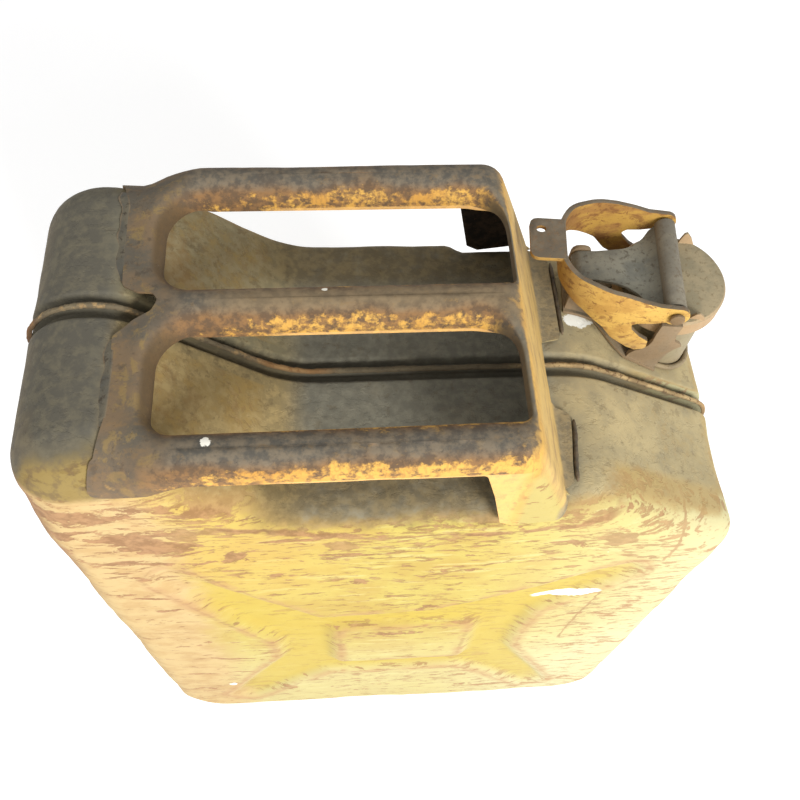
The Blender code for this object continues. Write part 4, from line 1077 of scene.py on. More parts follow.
class Graph:
    """A material's nodes. Positions are millimetres; colours are sRGB from 0 to 255."""

    def __init__(self, name):
        self.material = bpy.data.materials.new(name)
        self.material.use_nodes = True
        self.tree = self.material.node_tree
        self.rough_edges = {}
        coordinates = self.node("TexCoord").outputs["Object"]
        scale = self.node("VectorMath")
        scale.operation = "SCALE"
        self.put(scale.inputs[0], coordinates)
        scale.inputs["Scale"].default_value = 1000.0
        self.position = scale.outputs[0]

    @cached_property
    def geometry(self):
        return self.node("NewGeometry", prefix="ShaderNode")

    def node(self, kind, prefix="ShaderNode"):
        return self.tree.nodes.new(prefix + kind)

    def put(self, socket, value):
        """Links a value to a socket, or sets the socket to it."""
        if isinstance(value, Value):
            value = value.socket
        if isinstance(value, bpy.types.NodeSocket):
            self.tree.links.new(value, socket)
        elif socket.type == "RGBA":
            socket.default_value = (*linear(value), 1)
        else:
            socket.default_value = value

    def split(self, vector):
        node = self.node("SeparateXYZ")
        self.put(node.inputs[0], vector)
        return [Value(self, output) for output in node.outputs]

    def normal(self):
        """Components of the surface normal in the object's frame."""
        turn = self.node("VectorTransform")
        turn.vector_type = "NORMAL"
        turn.convert_from = "WORLD"
        turn.convert_to = "OBJECT"
        self.put(turn.inputs[0], self.geometry.outputs["Normal"])
        return self.split(turn.outputs[0])

    def attribute(self, name):
        node = self.node("Attribute")
        node.attribute_name = name
        return Value(self, node.outputs["Fac"])

    def math(self, operation, first, second=0.0):
        node = self.node("Math")
        node.operation = operation
        self.put(node.inputs[0], first)
        self.put(node.inputs[1], second)
        return Value(self, node.outputs[0])

    def vector(self, operation, first, second=None):
        node = self.node("VectorMath")
        node.operation = operation
        self.put(node.inputs[0], first)
        if second is not None:
            self.put(node.inputs[1], second)
        return Value(self, node.outputs[1 if operation in ("LENGTH", "DISTANCE") else 0])

    def noise(self, size, detail=5, rough=0.6, stretch=(1, 1, 1), shift=0.0, warp=0.0):
        """Noise whose blobs are about size millimetres across."""
        mapping = self.node("Mapping")
        mapping.inputs["Scale"].default_value = tuple(s / size for s in stretch)
        mapping.inputs["Location"].default_value = (shift, shift * 0.7, -shift)
        self.put(mapping.inputs[0], self.position)
        node = self.node("TexNoise")
        node.inputs["Scale"].default_value = 1.0
        node.inputs["Detail"].default_value = detail
        node.inputs["Roughness"].default_value = rough
        node.inputs["Distortion"].default_value = warp
        self.put(node.inputs["Vector"], mapping.outputs[0])
        return Value(self, node.outputs[0])

    def mix(self, share, under, over):
        node = self.node("Mix")
        node.data_type = "RGBA"
        self.put(node.inputs[0], share)
        self.put(node.inputs[6], under)
        self.put(node.inputs[7], over)
        return Value(self, node.outputs[2])

    def ragged(self, size):
        """Noise about zero that frays the edge of a mark, one for each size."""
        if size not in self.rough_edges:
            self.rough_edges[size] = self.noise(size, detail=2, rough=0.55, shift=7) - 0.5
        return self.rough_edges[size]

    def spot(self, centre, radius, fray=0.6, size=3.0):
        """Mask of a ragged blob."""
        distance = self.vector("DISTANCE", self.position, centre)
        wobble = self.ragged(size) * (radius * 3 * fray)
        return (distance + wobble).ramp(radius, radius * 0.8)

    def stroke(self, x, z, start, end, half, wobble=1.5):
        """Mask of a wavering stroke between two (x, z) points, half its width given."""
        dx, dz = end[0] - start[0], end[1] - start[1]
        length = math.hypot(dx, dz)
        off = (x - start[0]) * (-dz / length) + (z - start[1]) * (dx / length)
        off = off + self.ragged(4.0) * (2 * wobble)
        along = (x - start[0]) * (dx / length) + (z - start[1]) * (dz / length)
        ends = along.ramp(-1, 3) * along.ramp(length + 1, length - 3)
        return abs(off).ramp(half + 0.6, half) * ends

    def finish(self, colour, roughness, height, bump, distance, metal=0.0, specular=0.35):
        """Fills in the surface; bump is a strength and distance its depth."""
        surface = self.tree.nodes["Principled BSDF"]
        self.put(surface.inputs["Base Color"], colour)
        self.put(surface.inputs["Roughness"], roughness)
        surface.inputs["Metallic"].default_value = metal
        surface.inputs["Specular IOR Level"].default_value = specular
        node = self.node("Bump")
        node.inputs["Strength"].default_value = bump
        node.inputs["Distance"].default_value = distance * MM
        self.put(node.inputs["Height"], height)
        self.put(surface.inputs["Normal"], node.outputs[0])
        return self.material


def linear(colour):
    return tuple(((c / 255 + 0.055) / 1.055) ** 2.4 if c > 10 else c / 255 / 12.92
                 for c in colour)


def fade(share, first, second):
    return (1.0 - share) * first + share * second


# ---------------------------------------------------------------- shell paint
# (centre, radius) of small white chips
WHITE_SPOTS = [((-86.6, -68.9, 468), 2.3), ((-89.8, -43, 440), 1.6), ((-37.6, 4.9, 468), 1.5),
               ((30.2, 62.1, 468), 1.8), ((-120, -82.5, 90), 3.4), ((-157.5, -32.8, 466), 1.7),
               ((104, -83, 352), 2.0)]
# (centre, radius) of brown rubs on the near face
RUBS = [((-108, -83, 399), 8.0), ((-92, -83, 404), 6.0), ((-33, -83, 378), 8.0),
        ((106, -83, 370), 9.5)]


def shell_coat(g, x, z, mid, deep, left, painted_glare):
    """Yellow paint, peach at the left end, paled by painted glare at the right end and low down."""
    wisp = g.noise(9, stretch=(0.3, 1, 1.7), shift=21)
    coat = g.mix(mid.ramp(0.38, 0.62), (172, 155, 80), (166, 143, 74))
    coat = coat.lay((188, 178, 118), wisp.ramp(0.54, 0.66), part=0.5)
    coat = coat.lay((180, 150, 78), x.ramp(0, -90) * z.ramp(250, 370), part=0.6)
    coat = coat.lay((174, 152, 66), deep, part=0.8)
    coat = coat.lay((186, 180, 140), painted_glare * deep.ramp(1.4, 0.0))
    mottle = g.noise(12, detail=4, stretch=(0.6, 1, 0.8), shift=31)
    peach = g.mix(mottle.ramp(0.42, 0.62), (180, 155, 110), (170, 141, 97))
    return coat.lay(peach, left, part=0.92)


def shell_scuff(g, x, y, z):
    """Scuffed line that runs along under the near bar, rubbed creases and rubs."""
    bow = 386.5 + (x - 20) * (x - 20) * 0.0017
    off = z - bow + g.noise(14, detail=4, shift=41).swing(9)
    span = x.ramp(-104, -88) * x.ramp(108, 92)
    broken = g.noise(18, detail=3, rough=0.5, shift=44).ramp(0.36, 0.46)
    scuff = abs(off).ramp(3.4, 1.4) * span * broken
    for start, end in (((139, 398), (137, 336)), ((116, 286), (110, 184))):
        crease = g.stroke(x, z, start, end, half=0.5)
        scuff = scuff | crease * y.ramp(-50, -65, high=0.8)
    for centre, radius in RUBS:
        scuff = scuff | g.spot(centre, radius, fray=0.9, size=9.0) * 0.8
    return scuff


def shell_face(g, x, y, z, big, mid, fine, pits, front):
    """Paint, wear, painted glare and a painted highlight of the upright faces; also the mask of
    paint worn through.
    """
    deep = g.attribute("groove")
    brink = g.attribute("brink")
    left = (x + mid.swing(46)).ramp(-98, -128)
    # painted glare: paler towards the right end and low down
    painted_glare = x.ramp(20, 150) * 0.55 + (z.ramp(260, 90) * 0.5 + x.ramp(110, 165) * 0.3)
    coat = shell_coat(g, x, z, mid, deep, left, painted_glare)
    # brown wear: patches towards the upper left, dashes elsewhere
    top_left = x.ramp(-20, -125) * z.ramp(300, 400)
    patch = g.noise(26, detail=6, rough=0.66, stretch=(0.5, 1.0, 1.3), shift=3, warp=0.5)
    patch = patch + fine.swing(0.16)
    patches = (patch + top_left * 0.09).ramp(0.605, 0.63)
    streak = g.noise(6.5, detail=6, rough=0.66, stretch=(0.42, 0.8, 1.5), shift=3, warp=0.5)
    density = z.ramp(250, 410) * 0.035 + big.ramp(0.4, 0.65) * 0.045
    density = density + 0.012 - left * 0.03
    worn = (streak + density).ramp(0.595, 0.635) * 0.85
    small = g.noise(3.2, rough=0.64, stretch=(0.45, 0.8, 1.4), shift=8)
    dashes = (small + density).ramp(0.64, 0.69) * 0.65
    specks = pits.ramp(0.70, 0.75) * 0.5
    scuff = shell_scuff(g, x, y, z)
    edge = (x + mid.swing(26)).ramp(-160, -169) * (z + big.swing(120)).ramp(250, 350)
    rim = (brink * 1.0 + streak.swing(1.2)).ramp(0.78, 1.05) * front * 0.6
    wear = ((worn | dashes) | (specks | patches)) | (scuff | rim)
    wear = wear * deep.ramp(1.3, 0.3, low=0.25)
    wear = wear | edge * 0.85
    brown = g.mix(fine.ramp(0.4, 0.65), (122, 86, 58), (150, 112, 78))
    # the painted glare pales the brown wear as well
    brown = brown.lay((168, 130, 92), painted_glare, part=0.55)
    face = coat.lay(brown, wear, part=0.85)
    # pinkish rubbed field along the channel edges, and one white stroke that is a painted highlight
    # on a channel's lower edge
    field = g.noise(20, detail=4, shift=51).ramp(0.36, 0.56)
    face = face.lay((164, 126, 88), brink.ramp(0.15, 0.8) * front * field, part=0.45)
    # painted highlight: the lit lower step of the channel
    white = g.stroke(x, z, (78, 268), (115, 289), half=1.9, wobble=1.2)
    face = face.lay((240, 240, 232), white * y.ramp(-60, -75))
    return face, worn | patches


def shell_top(g, x, y, z, mid, fine, right, blotch):
    """Colour of what faces up: dark grime with painted shade under the handle, ochre on the slope,
    lighter at the right.
    """
    # dark: grime, and in the recess under the handle painted shade
    dark = g.mix(fine.ramp(0.35, 0.7), (102, 102, 93), (128, 126, 112))
    light = g.mix(mid.ramp(0.35, 0.65), (154, 141, 108), (174, 158, 118))
    light = light.lay((128, 120, 98), g.noise(13, shift=62).ramp(0.5, 0.68), part=0.4)
    brownish = g.mix(g.noise(22, rough=0.65, shift=12).ramp(0.48, 0.7),
                     (108, 99, 78), (130, 117, 90))
    dark = g.mix(0.35, dark, brownish)
    shoulder = z.ramp(452, 464)
    dark = dark.lay(g.mix(mid.ramp(0.4, 0.62), (78, 76, 68), (92, 89, 79)), shoulder, part=0.85)
    streaks = g.noise(11, detail=6, rough=0.68, stretch=(0.7, 1, 1), shift=91, warp=0.6)
    dark = dark.lay((108, 104, 88), shoulder * y.ramp(5, 15), part=0.8)
    dark = dark.lay((128, 122, 98), shoulder * streaks.ramp(0.56, 0.68), part=0.4)
    slope = x.ramp(-46, -64) * x.ramp(-134, -124)
    ochre = g.mix(fine.ramp(0.4, 0.66), (142, 124, 84), (164, 142, 94))
    far_ochre = g.mix(fine.ramp(0.4, 0.66), (134, 124, 94), (152, 138, 102))
    ochre = ochre.lay(far_ochre, y.ramp(-5, 5))
    ochre = ochre.lay((104, 86, 58), g.noise(8, rough=0.66, shift=93).ramp(0.54, 0.62), part=0.5)
    dark = dark.lay(ochre, slope, part=0.9)
    return g.mix(right, dark, light).lay((92, 78, 56), blotch, part=0.3)


def shell_upward(x, y, z, nz, big, mid, fine, right):
    """Mask of the surfaces that take the top colour, grime and painted shade: those facing up, and
    the seam groove.
    """
    up = (nz + (mid + fine).swing(0.4, middle=1.0)).ramp(0.36, 0.86)
    crisp = nz + (mid + fine).swing(0.12, middle=1.0)
    up = fade(right * abs(y).ramp(50, 60), up, crisp.ramp(0.78, 0.965))
    up = fade(x.ramp(-118, -132) * y.ramp(-45, -55), up, (crisp + big.swing(0.25)).ramp(0.70, 0.90))
    return up * z.ramp(200, 330) | abs(y).ramp(17, 12) * z.ramp(378, 392) * x.ramp(-171, -163)


def shell_marks(g, colour, x, y, z, ny, big, mid, fine, front):
    """Local dirt, rust, bare spots and painted shade over the shell's colour."""
    olive = x.ramp(-118, -134) * front * (z + mid.swing(14)).ramp(441, 447)
    olive = olive * abs(ny).ramp(0.2, 0.5)
    colour = colour.lay(g.mix(fine.ramp(0.45, 0.62), (122, 104, 56), (96, 80, 50)),
                        olive, part=0.85)
    # under the near and far bars the rounding is darkened: painted shade with grime
    bay = (x + mid.swing(20)).ramp(-84, -60) * x.ramp(64, 60)
    shade = bay * (z + g.noise(8, rough=0.65, shift=71).swing(26)).ramp(393, 409)
    colour = colour.lay(g.mix(fine.ramp(0.4, 0.6), (96, 82, 54), (116, 98, 62)),
                        shade * front, part=0.75)
    # the left end is grimy down its rounding
    end = (x + mid.swing(18)).ramp(-120, -140)
    end = end * (z + (big + mid).swing(26, middle=1.0)).ramp(430, 447)
    end = end * (y + mid.swing(16)).ramp(-74, -66)
    colour = colour.lay(g.mix(fine.ramp(0.4, 0.66), (84, 80, 70), (100, 94, 78)), end, part=0.9)
    # seam groove darkened: dirt and painted shade; and rust round the bottom
    colour = colour.lay((78, 73, 60), (abs(y) + fine.swing(2.0)).ramp(8.0, 4.0), part=0.7)
    colour = colour.lay((150, 116, 78), (z + mid.swing(50)).ramp(26, 2), part=0.45)
    # bare patch on the deck beside the neck, rust by the bracket
    offset = g.vector("SUBTRACT", g.position, (92.7, 28.3, 404.0))
    distance = g.vector("LENGTH", g.vector("MULTIPLY", offset, (0.5, 1.0, 0.3)))
    bare = (distance + g.noise(5, detail=4, shift=81).swing(6)).ramp(4.6, 3.8)
    colour = colour.lay((236, 236, 226), bare)
    rust = g.spot((116, 52, 404), 5.0, fray=0.8, size=4.0)
    colour = colour.lay((150, 96, 52), rust, part=0.8)
    for centre, radius in WHITE_SPOTS:
        colour = colour.lay((246, 246, 240), g.spot(centre, radius))
    return colour


def shell_paint(name):
    g = Graph(name)
    x, y, z = g.split(g.position)
    _, ny, nz = g.normal()
    big = g.noise(90, detail=3, rough=0.5, shift=2)
    mid = g.noise(28, shift=5)
    fine = g.noise(5, detail=4, shift=1)
    pits = g.noise(2.2, detail=3, rough=0.7, shift=9)
    front = abs(y).ramp(45, 60)
    right = (x + mid.swing(25)).ramp(55, 95)
    blotch = g.noise(7, rough=0.65, shift=15).ramp(0.56, 0.66)
    face, worn = shell_face(g, x, y, z, big, mid, fine, pits, front)
    top = shell_top(g, x, y, z, mid, fine, right, blotch)
    up = shell_upward(x, y, z, nz, big, mid, fine, right)
    fringe = up * (1.0 - up) * 4.0
    colour = g.mix(up, face, top).lay((160, 128, 74), fringe, part=0.5)
    colour = shell_marks(g, colour, x, y, z, ny, big, mid, fine, front)
    height = worn * -0.5 + (fine * 0.5 + pits * 0.35)
    height = height + blotch * nz.ramp(0.5, 0.9) * -0.4
    return g.finish(colour, 0.62 + mid * 0.3, height, bump=0.55, distance=0.5, specular=0.2)


# ---------------------------------------------------------------- handle paint
def handle_leg(g, colour, x, z, ny, nz, nx, mid, fine, mottle):
    """Dust on the leg, cleaner skirts beside it, and grime on the foot flange."""
    leg = (x + mid.swing(16)).ramp(44, 58) * (nx + fine.swing(0.3)).ramp(0.4, 0.85)
    dust = g.noise(9, stretch=(1, 0.5, 1), shift=3).ramp(0.42, 0.66)
    colour = colour.lay(g.mix(dust, (192, 164, 104), (158, 134, 92)), leg, part=0.85)
    colour = colour.lay((112, 104, 86), x.ramp(40, 52) * (nz.ramp(0.5, 0.8) * 0.6))
    skirt = x.ramp(44, 50) * abs(ny).ramp(0.5, 0.85) * z.ramp(456, 446)
    dash = g.noise(6, rough=0.62, stretch=(0.45, 1, 1.6), shift=9).ramp(0.60, 0.64)
    colour = colour.lay(g.mix(dash * 0.8, (166, 152, 92), (134, 98, 64)), skirt, part=0.95)
    foot = x.ramp(65, 68) * z.ramp(413, 408)
    return colour.lay(g.mix(mottle.ramp(0.42, 0.62), (150, 134, 100), (118, 108, 86)),
                      foot, part=0.95)


def handle_paint(name):
    """Yellow sides, brown towards the crowns and the left, grey on top."""
    g = Graph(name)
    x, y, z = g.split(g.position)
    nx, ny, nz = g.normal()
    mid = g.noise(24, shift=2)
    fine = g.noise(4.5, rough=0.62, shift=6)
    mottle = g.noise(6.5, detail=6, rough=0.66, stretch=(0.8, 1, 1.0), shift=4)
    pits = g.noise(1.8, detail=3, rough=0.7, shift=11)
    drip = g.noise(3.4, detail=4, stretch=(1.3, 1, 0.45), shift=17)
    yellow = g.mix(mid.ramp(0.4, 0.65), (196, 152, 74), (180, 132, 62))
    yellow = yellow.lay((150, 112, 62), drip.ramp(0.50, 0.64), part=0.6)
    brown = g.mix(fine.ramp(0.4, 0.62), (92, 72, 52), (126, 94, 60))
    # paint gives way to brown towards the crown and to the left
    soft = (mid + fine * 0.6).swing(0.55, middle=0.8)
    mid_bar = abs(y).ramp(20, 8) * y.ramp(-1, -4)
    side = (nz + soft - mid_bar * 0.08).ramp(0.84, 0.36)
    lean = x.ramp(-50, -112) * 0.13 - x.ramp(36, 50) * 0.10
    speckle = g.noise(2.6, rough=0.68, stretch=(0.8, 1, 0.8), shift=23)
    mottle = mottle * 0.55 + speckle * 0.45
    lean = lean + y.ramp(-30, -10) * 0.035
    worn = (mottle + lean + (1.0 - side) * 0.13).ramp(0.475, 0.60)
    colour = g.mix(worn, yellow, brown)
    grey = g.mix(fine.ramp(0.35, 0.65), (80, 77, 70), (112, 102, 86))
    grey = grey.lay((122, 102, 74), mottle.ramp(0.54, 0.62), part=0.45)
    plate = g.mix(mid.ramp(0.38, 0.62), (88, 82, 71), (112, 94, 72))
    patches = g.noise(9, detail=6, rough=0.7, shift=57, warp=0.5).ramp(0.52, 0.62)
    plate = plate.lay((134, 112, 68), patches, part=0.6)
    patches = g.noise(5, detail=6, rough=0.7, shift=58).ramp(0.55, 0.66)
    plate = plate.lay((76, 66, 54), patches, part=0.6)
    grey = grey.lay(plate, x.ramp(-95, -112))
    up = (nz + soft * 1.1 - mid_bar * 0.08).ramp(0.58, 0.99)
    colour = colour.lay(grey, up, part=0.95)
    # the left plate's rolled corners stay brown-grey
    corner = (x + mid.swing(30)).ramp(-96, -118)
    colour = colour.lay(plate.lay((140, 108, 62), mottle.ramp(0.50, 0.62), part=0.35),
                        corner, part=0.7)
    # the middle of the three bars keeps more of its ochre
    centre = abs(y).ramp(20, 8) * x.ramp(-100, -70)
    colour = colour.lay((150, 124, 84), centre * up, part=0.35)
    # window ends are darker, painted shade at the leg end; the lower lip gets a painted highlight
    colour = colour.lay((62, 56, 46), nx.ramp(-0.25, -0.7) * x.ramp(28, 40), part=0.9)
    colour = colour.lay((84, 68, 46), nx.ramp(0.3, 0.75) * x.ramp(-92, -100), part=0.8)
    lip_highlight = z.ramp(457.6, 456.8) * nz.ramp(0.4, 0.1) * (x.ramp(-70, -50) * x.ramp(50, 40))
    colour = colour.lay((214, 168, 104), lip_highlight, part=0.7)
    colour = handle_leg(g, colour, x, z, ny, nz, nx, mid, fine, mottle)
    height = worn * -0.4 + (fine * 0.6 + pits.ramp(0.6, 0.72) * -0.6)
    for spot, radius in WHITE_SPOTS:
        colour = colour.lay((240, 236, 222), g.spot(spot, radius))
    return g.finish(colour, 0.62 + fine * 0.33, height, bump=0.6, distance=0.5, specular=0.22)


def under_paint(name):
    """Inside of the pressing, painted dark as painted shade, with rust pits."""
    g = Graph(name)
    fine = g.noise(5, rough=0.62, shift=6)
    pits = g.noise(2, detail=3, rough=0.7, shift=3)
    colour = g.mix(fine.ramp(0.4, 0.66), (34, 29, 24), (58, 46, 34))
    colour = colour.lay((82, 56, 36), pits.ramp(0.62, 0.7), part=0.6)
    return g.finish(colour, 0.9, fine + pits * 0.4, bump=0.5, distance=0.4, specular=0.15)


# ---------------------------------------------------------------- metal and rubber
def rust_bead(name):
    g = Graph(name)
    x, y, _ = g.split(g.position)
    fine = g.noise(2.4, rough=0.68)
    mid = g.noise(14, detail=4, shift=3)
    colour = g.mix(mid.ramp(0.4, 0.6), (138, 116, 82), (172, 148, 106))
    colour = colour.lay((104, 82, 58), fine.ramp(0.52, 0.64))
    # shoulder: dark and broken; recess: grimy; slope between them: rusty
    dark = g.mix(g.noise(6, rough=0.65, shift=13).ramp(0.46, 0.6), (92, 85, 70), (156, 128, 88))
    colour = colour.lay(dark, x.ramp(-58, -76), part=0.8)
    colour = colour.lay((88, 81, 66), x.ramp(70, 44) * x.ramp(-60, -34), part=0.85)
    colour = colour.lay((146, 100, 54), x.ramp(-76, -66) * x.ramp(-30, -46), part=0.55)
    colour = colour.lay(g.mix(x.ramp(0, 1), (112, 70, 42), (160, 128, 88)),
                        abs(x).ramp(160, 172), part=0.75)
    colour = colour.lay((84, 72, 54), abs(y).ramp(0.7, 1.6), part=0.55)
    return g.finish(colour, 0.88, fine + mid * 0.5, bump=0.9, distance=0.6, specular=0.2)


# colours of each steel: two main tones, specks, and faces that don't look up
STEELS = {
    "grimy_steel": ((108, 107, 97), (130, 127, 112), (94, 89, 77), (104, 99, 86)),
    "cap_steel": ((138, 128, 102), (156, 142, 112), (130, 116, 88), (170, 138, 100)),
    "bracket_steel": ((118, 110, 92), (138, 122, 94), (98, 84, 66), (132, 112, 86)),
    "pin_steel": ((112, 94, 68), (138, 112, 76), (80, 64, 48), (120, 96, 66)),
    "knob_steel": ((76, 74, 68), (92, 88, 78), (60, 54, 46), (84, 76, 64)),
    "neck_steel": ((140, 129, 100), (154, 141, 108), (116, 102, 78), (136, 124, 96)),
    "crust_weld": ((128, 116, 90), (150, 134, 102), (108, 84, 56), (124, 110, 84)),
    "shoulder_weld": ((80, 77, 68), (98, 91, 75), (66, 58, 46), (86, 80, 66)),
    "dressed_weld": ((62, 58, 50), (80, 74, 60), (50, 44, 36), (66, 60, 50)),
}


def grimy_steel(name):
    first, second, specks, flank = STEELS[name]
    g = Graph(name)
    _, _, nz = g.normal()
    fine = g.noise(2.6, rough=0.65, shift=2)
    mid = g.noise(12, shift=7)
    pits = g.noise(1.2, detail=2, shift=5)
    colour = g.mix(mid.ramp(0.38, 0.62), first, second)
    colour = colour.lay(specks, fine.ramp(0.52, 0.68))
    colour = colour.lay(flank, 1.0 - nz.ramp(0.3, 0.9), part=0.75)
    pointed = Value(g, g.geometry.outputs["Pointiness"])
    colour = colour.lay((140, 116, 86), pointed.ramp(0.53, 0.58), part=0.4)
    height = fine * 0.8 + pits.ramp(0.6, 0.72) * -0.7
    return g.finish(colour, 0.5 + fine * 0.35, height, bump=0.6, distance=0.35, metal=0.15)


def lever_rust(name):
    g = Graph(name)
    x, y, z = g.split(g.position)
    _, ny, nz = g.normal()
    fine = g.noise(2.4, rough=0.65, shift=2)
    mid = g.noise(11, rough=0.62, stretch=(0.7, 0.7, 1.2), shift=7)
    pits = g.noise(1.3, detail=2, shift=5)
    blot = g.noise(5, detail=6, rough=0.7, stretch=(0.7, 0.7, 1.1), shift=1, warp=0.6)
    # painted shade: the far arm is darker
    far = y.ramp(44, 60)
    colour = g.mix(mid.ramp(0.40, 0.62), (194, 156, 80), (172, 132, 66))
    colour = colour.lay(g.mix(mid.ramp(0.42, 0.6), (170, 132, 62), (146, 106, 56)), far)
    colour = colour.lay((118, 78, 44), blot.ramp(0.51, 0.61), part=0.75)
    colour = colour.lay((86, 60, 38), fine.ramp(0.60, 0.68), part=0.6)
    # darker round the bow, paler low down, dark on the near arm's inner face
    colour = colour.lay((104, 76, 46), (x + mid.swing(16)).ramp(100, 78), part=0.45)
    colour = colour.lay((190, 160, 110), (z + mid.swing(14)).ramp(418, 404), part=0.25)
    colour = colour.lay((70, 56, 42), ny.ramp(0.2, 0.7) * (1.0 - far), part=0.7)
    # ground-in dirt on edges that face up, and on the tab
    dark = g.mix(mid.ramp(0.4, 0.65), (90, 82, 70), (110, 100, 84))
    dark = dark.lay((118, 88, 58), fine.ramp(0.5, 0.64), part=0.4)
    colour = colour.lay(dark, nz.ramp(0.35, 0.75), part=0.95)
    height = fine * 0.8 + pits.ramp(0.58, 0.7) * -0.8
    return g.finish(colour, 0.6 + fine * 0.3, height, bump=0.6, distance=0.35, specular=0.25)


def rubber(name):
    g = Graph(name)
    grain = g.noise(3, detail=4)
    colour = g.mix(grain.ramp(0.4, 0.7), (28, 27, 26), (52, 48, 42))
    return g.finish(colour, 0.85, grain, bump=0.3, distance=0.2)


# ---------------------------------------------------------------- assembly
def place(obj, body, node):
    """Hands a finished piece to the frame: the body it rides on, its CAD piece."""
    if body == "can":
        # worn surfaces never stand outside the new can
        points = np.empty(len(obj.data.vertices) * 3, np.float32)
        obj.data.vertices.foreach_get("co", points)
        points = np.clip(points.reshape(-1, 3), np.array(START[0]) + 1e-6,
                         np.array(START[1]) - 1e-6)
        obj.data.vertices.foreach_set("co", points.astype(np.float32).ravel())
        obj.data.update()
    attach(obj, body)
    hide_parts(node)


def build_can(mats):
    shell = mats["shell_paint"]
    near = shell_half("look_shell_near", -1, shell)
    place(final_mesh(near, 40), "can", "shell_near")
    place(final_mesh(far_shell(shell), 40), "can", "shell_far")
    bead = seam_bead("look_seam_bead", mats["seam_rust"])
    place(final_mesh(bead, 60), "can", "seam_weld_bead")
    handle = build_handle("look_handle", mats["handle_paint"], mats["handle_inside"])
    place(final_mesh(handle, 72), "can", "handle_pressing")
    # welds by kind: builder, material, and (label, y from, y to) of each
    welds = (("foot_weld_", foot_weld, "dressed_weld",
              (("near", -66.0, -32.0), ("far", 17.0, 64.0))),
             ("shoulder_weld_", shoulder_weld, "shoulder_weld",
              (("near", -60.0, -17.0), ("far", 13.0, 66.0))))
    for kind, build, material, spans in welds:
        for label, start, end in spans:
            weld = build("look_" + kind + label, start, end, mats[material])
            place(final_mesh(weld, 80), "can", kind + label)


def build_filler(mats):
    """Neck, bracket and vent pipe on the can; strap and cap; lever."""
    steel = mats["grimy_steel"]
    neck = build_neck("look_neck", mats["neck_steel"])
    place(final_mesh(neck, 50), "can", "filler_neck")
    weld = build_neck_weld("look_neck_weld", mats["crust_weld"])
    place(final_mesh(weld, 80), "can", "neck_weld_bead")
    bracket = build_bracket("look_bracket", mats["bracket_steel"])
    place(closure(bracket, edge=0.3), "can", "neck_bracket")
    pin = headed_pin("look_hinge_pin", HINGE_X, HINGE_Z, half=11.9, radius=2.15,
                     head_end=13.4, head_radius=3.8, material=mats["knob_steel"])
    place(closure(pin, edge=0.5), "can", "hinge_pin")
    vent = build_vent_pipe("look_vent_pipe", steel)
    place(final_mesh(vent, 40), "can", "vent_pipe")

    strap = build_strap("look_strap", steel)
    place(closure(strap, edge=0.35), "cap", "hinge_strap")
    cap = build_cap("look_cap", mats["cap_steel"])
    place(closure(cap, edge=0.3), "cap", "cap_shell")
    plate = build_inner_plate("look_inner_plate", steel)
    place(closure(plate), "cap", "cap_inner_plate")
    gasket = build_gasket("look_gasket", mats["rubber"])
    place(closure(gasket, edge=0.4), "cap", "cap_gasket")
    pin = headed_pin("look_lever_pin", PIN_X, PIN_Z, half=31.9, radius=2.55,
                     head_end=33.8, head_radius=3.7, material=mats["pin_steel"])
    place(closure(pin, edge=0.7), "cap", "lever_pin")
    lever = build_lever("look_lever", mats["lever_rust"])
    place(closure(lever, edge=0.45), "lever_arm", "lever")


def make_materials():
    makers = [("shell_paint", shell_paint), ("handle_paint", handle_paint),
              ("seam_rust", rust_bead)]
    steels = [(name, grimy_steel) for name in STEELS]
    makers += steels[:7] + [("lever_rust", lever_rust), ("rubber", rubber),
                            ("handle_inside", under_paint)] + steels[7:]
    return {name: make(name) for name, make in makers}


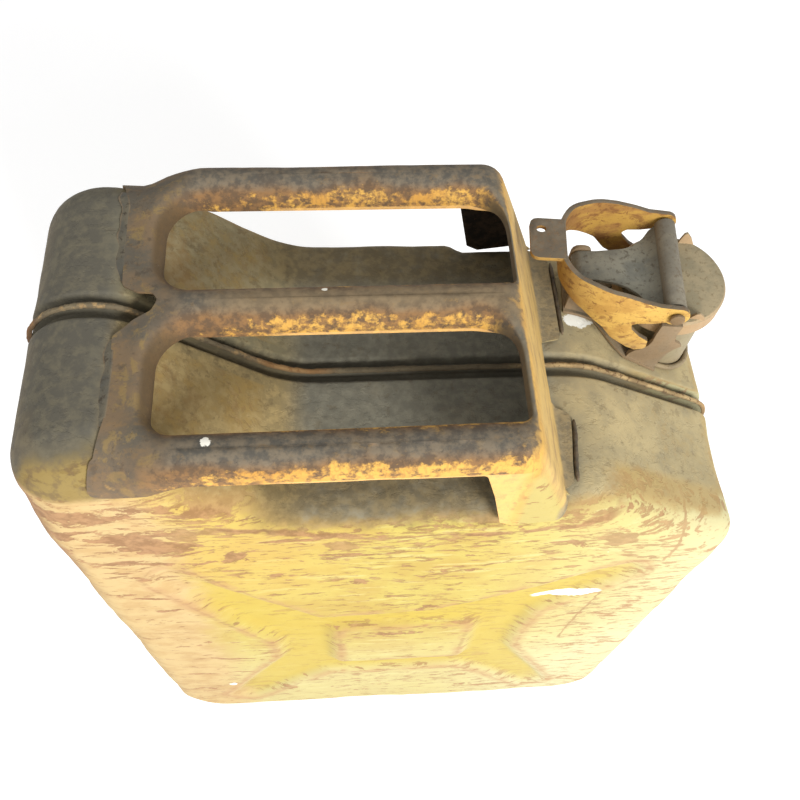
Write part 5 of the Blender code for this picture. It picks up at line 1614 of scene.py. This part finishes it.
# ---------------------------------------------------------------- stage (metres)
def add_floor():
    bpy.ops.mesh.primitive_plane_add(size=60.0, location=(0, 0, 0))
    floor = bpy.context.object
    floor.name = "floor"
    material = bpy.data.materials.new("floor")
    material.use_nodes = True
    inputs = material.node_tree.nodes["Principled BSDF"].inputs
    inputs["Base Color"].default_value = (0.92, 0.92, 0.92, 1)
    inputs["Roughness"].default_value = 0.9
    inputs["Emission Color"].default_value = (1, 1, 1, 1)
    inputs["Emission Strength"].default_value = 0.22
    floor.data.materials.append(material)
    floor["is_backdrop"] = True


def add_world():
    world = bpy.data.worlds.new("studio")
    world.use_nodes = True
    background = world.node_tree.nodes["Background"]
    background.inputs["Color"].default_value = (1.0, 1.0, 1.0, 1)
    background.inputs["Strength"].default_value = 0.75
    bpy.context.scene.world = world


def add_area_light(name, location, target, size, watts):
    data = bpy.data.lights.new(name, "AREA")
    data.energy = watts
    data.size = size
    obj = bpy.data.objects.new(name, data)
    bpy.context.scene.collection.objects.link(obj)
    obj.location = location
    aim = Vector(target) - Vector(location)
    obj.rotation_euler = aim.to_track_quat("-Z", "Y").to_euler()
    obj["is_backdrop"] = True


def add_camera():
    """Looks down at the can from the near side, slightly rolled."""
    data = bpy.data.cameras.new("camera")
    data.sensor_width = 36.0
    data.lens = 40.171
    data.clip_start = 0.01
    camera = bpy.data.objects.new("camera", data)
    bpy.context.scene.collection.objects.link(camera)
    yaw, pitch, roll = math.radians(7.539), math.radians(60.518), math.radians(4.827)
    forward = Vector((math.sin(yaw) * math.cos(pitch), math.cos(yaw) * math.cos(pitch),
                      -math.sin(pitch)))
    level = Vector((math.cos(yaw), -math.sin(yaw), 0))
    above = level.cross(forward)
    right = level * math.cos(roll) + above * math.sin(roll)
    up = -level * math.sin(roll) + above * math.cos(roll)
    turn = Matrix((right, up, -forward)).transposed().to_4x4()
    camera.matrix_world = Matrix.Translation((-0.031487, -0.232135, 0.789397)) @ turn
    bpy.context.scene.camera = camera
    camera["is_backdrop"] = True


def plain(value):
    """Numbers, vectors and their containers as plain data for JSON."""
    if isinstance(value, dict):
        return {str(key): plain(item) for key, item in value.items()}
    if isinstance(value, (list, tuple, Vector, np.ndarray)) or hasattr(value, "to_tuple"):
        return [plain(item) for item in value]
    return float(value) if isinstance(value, (int, float, np.floating)) else str(value)


def main():
    mats = make_materials()
    build_can(mats)
    build_filler(mats)
    add_floor()
    add_world()
    add_area_light("key", location=(0.75, -1.5, 1.15), target=(0, 0, 0.25), size=0.7, watts=42)
    add_area_light("fill", location=(-1.2, -0.9, 1.0), target=(0, 0, 0.3), size=1.2, watts=8)
    add_camera()
    bpy.context.scene.view_settings.view_transform = "Standard"
    bpy.context.scene.view_settings.look = "None"
    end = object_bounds()
    {"start": plain(START), "end": plain(end)}


main()
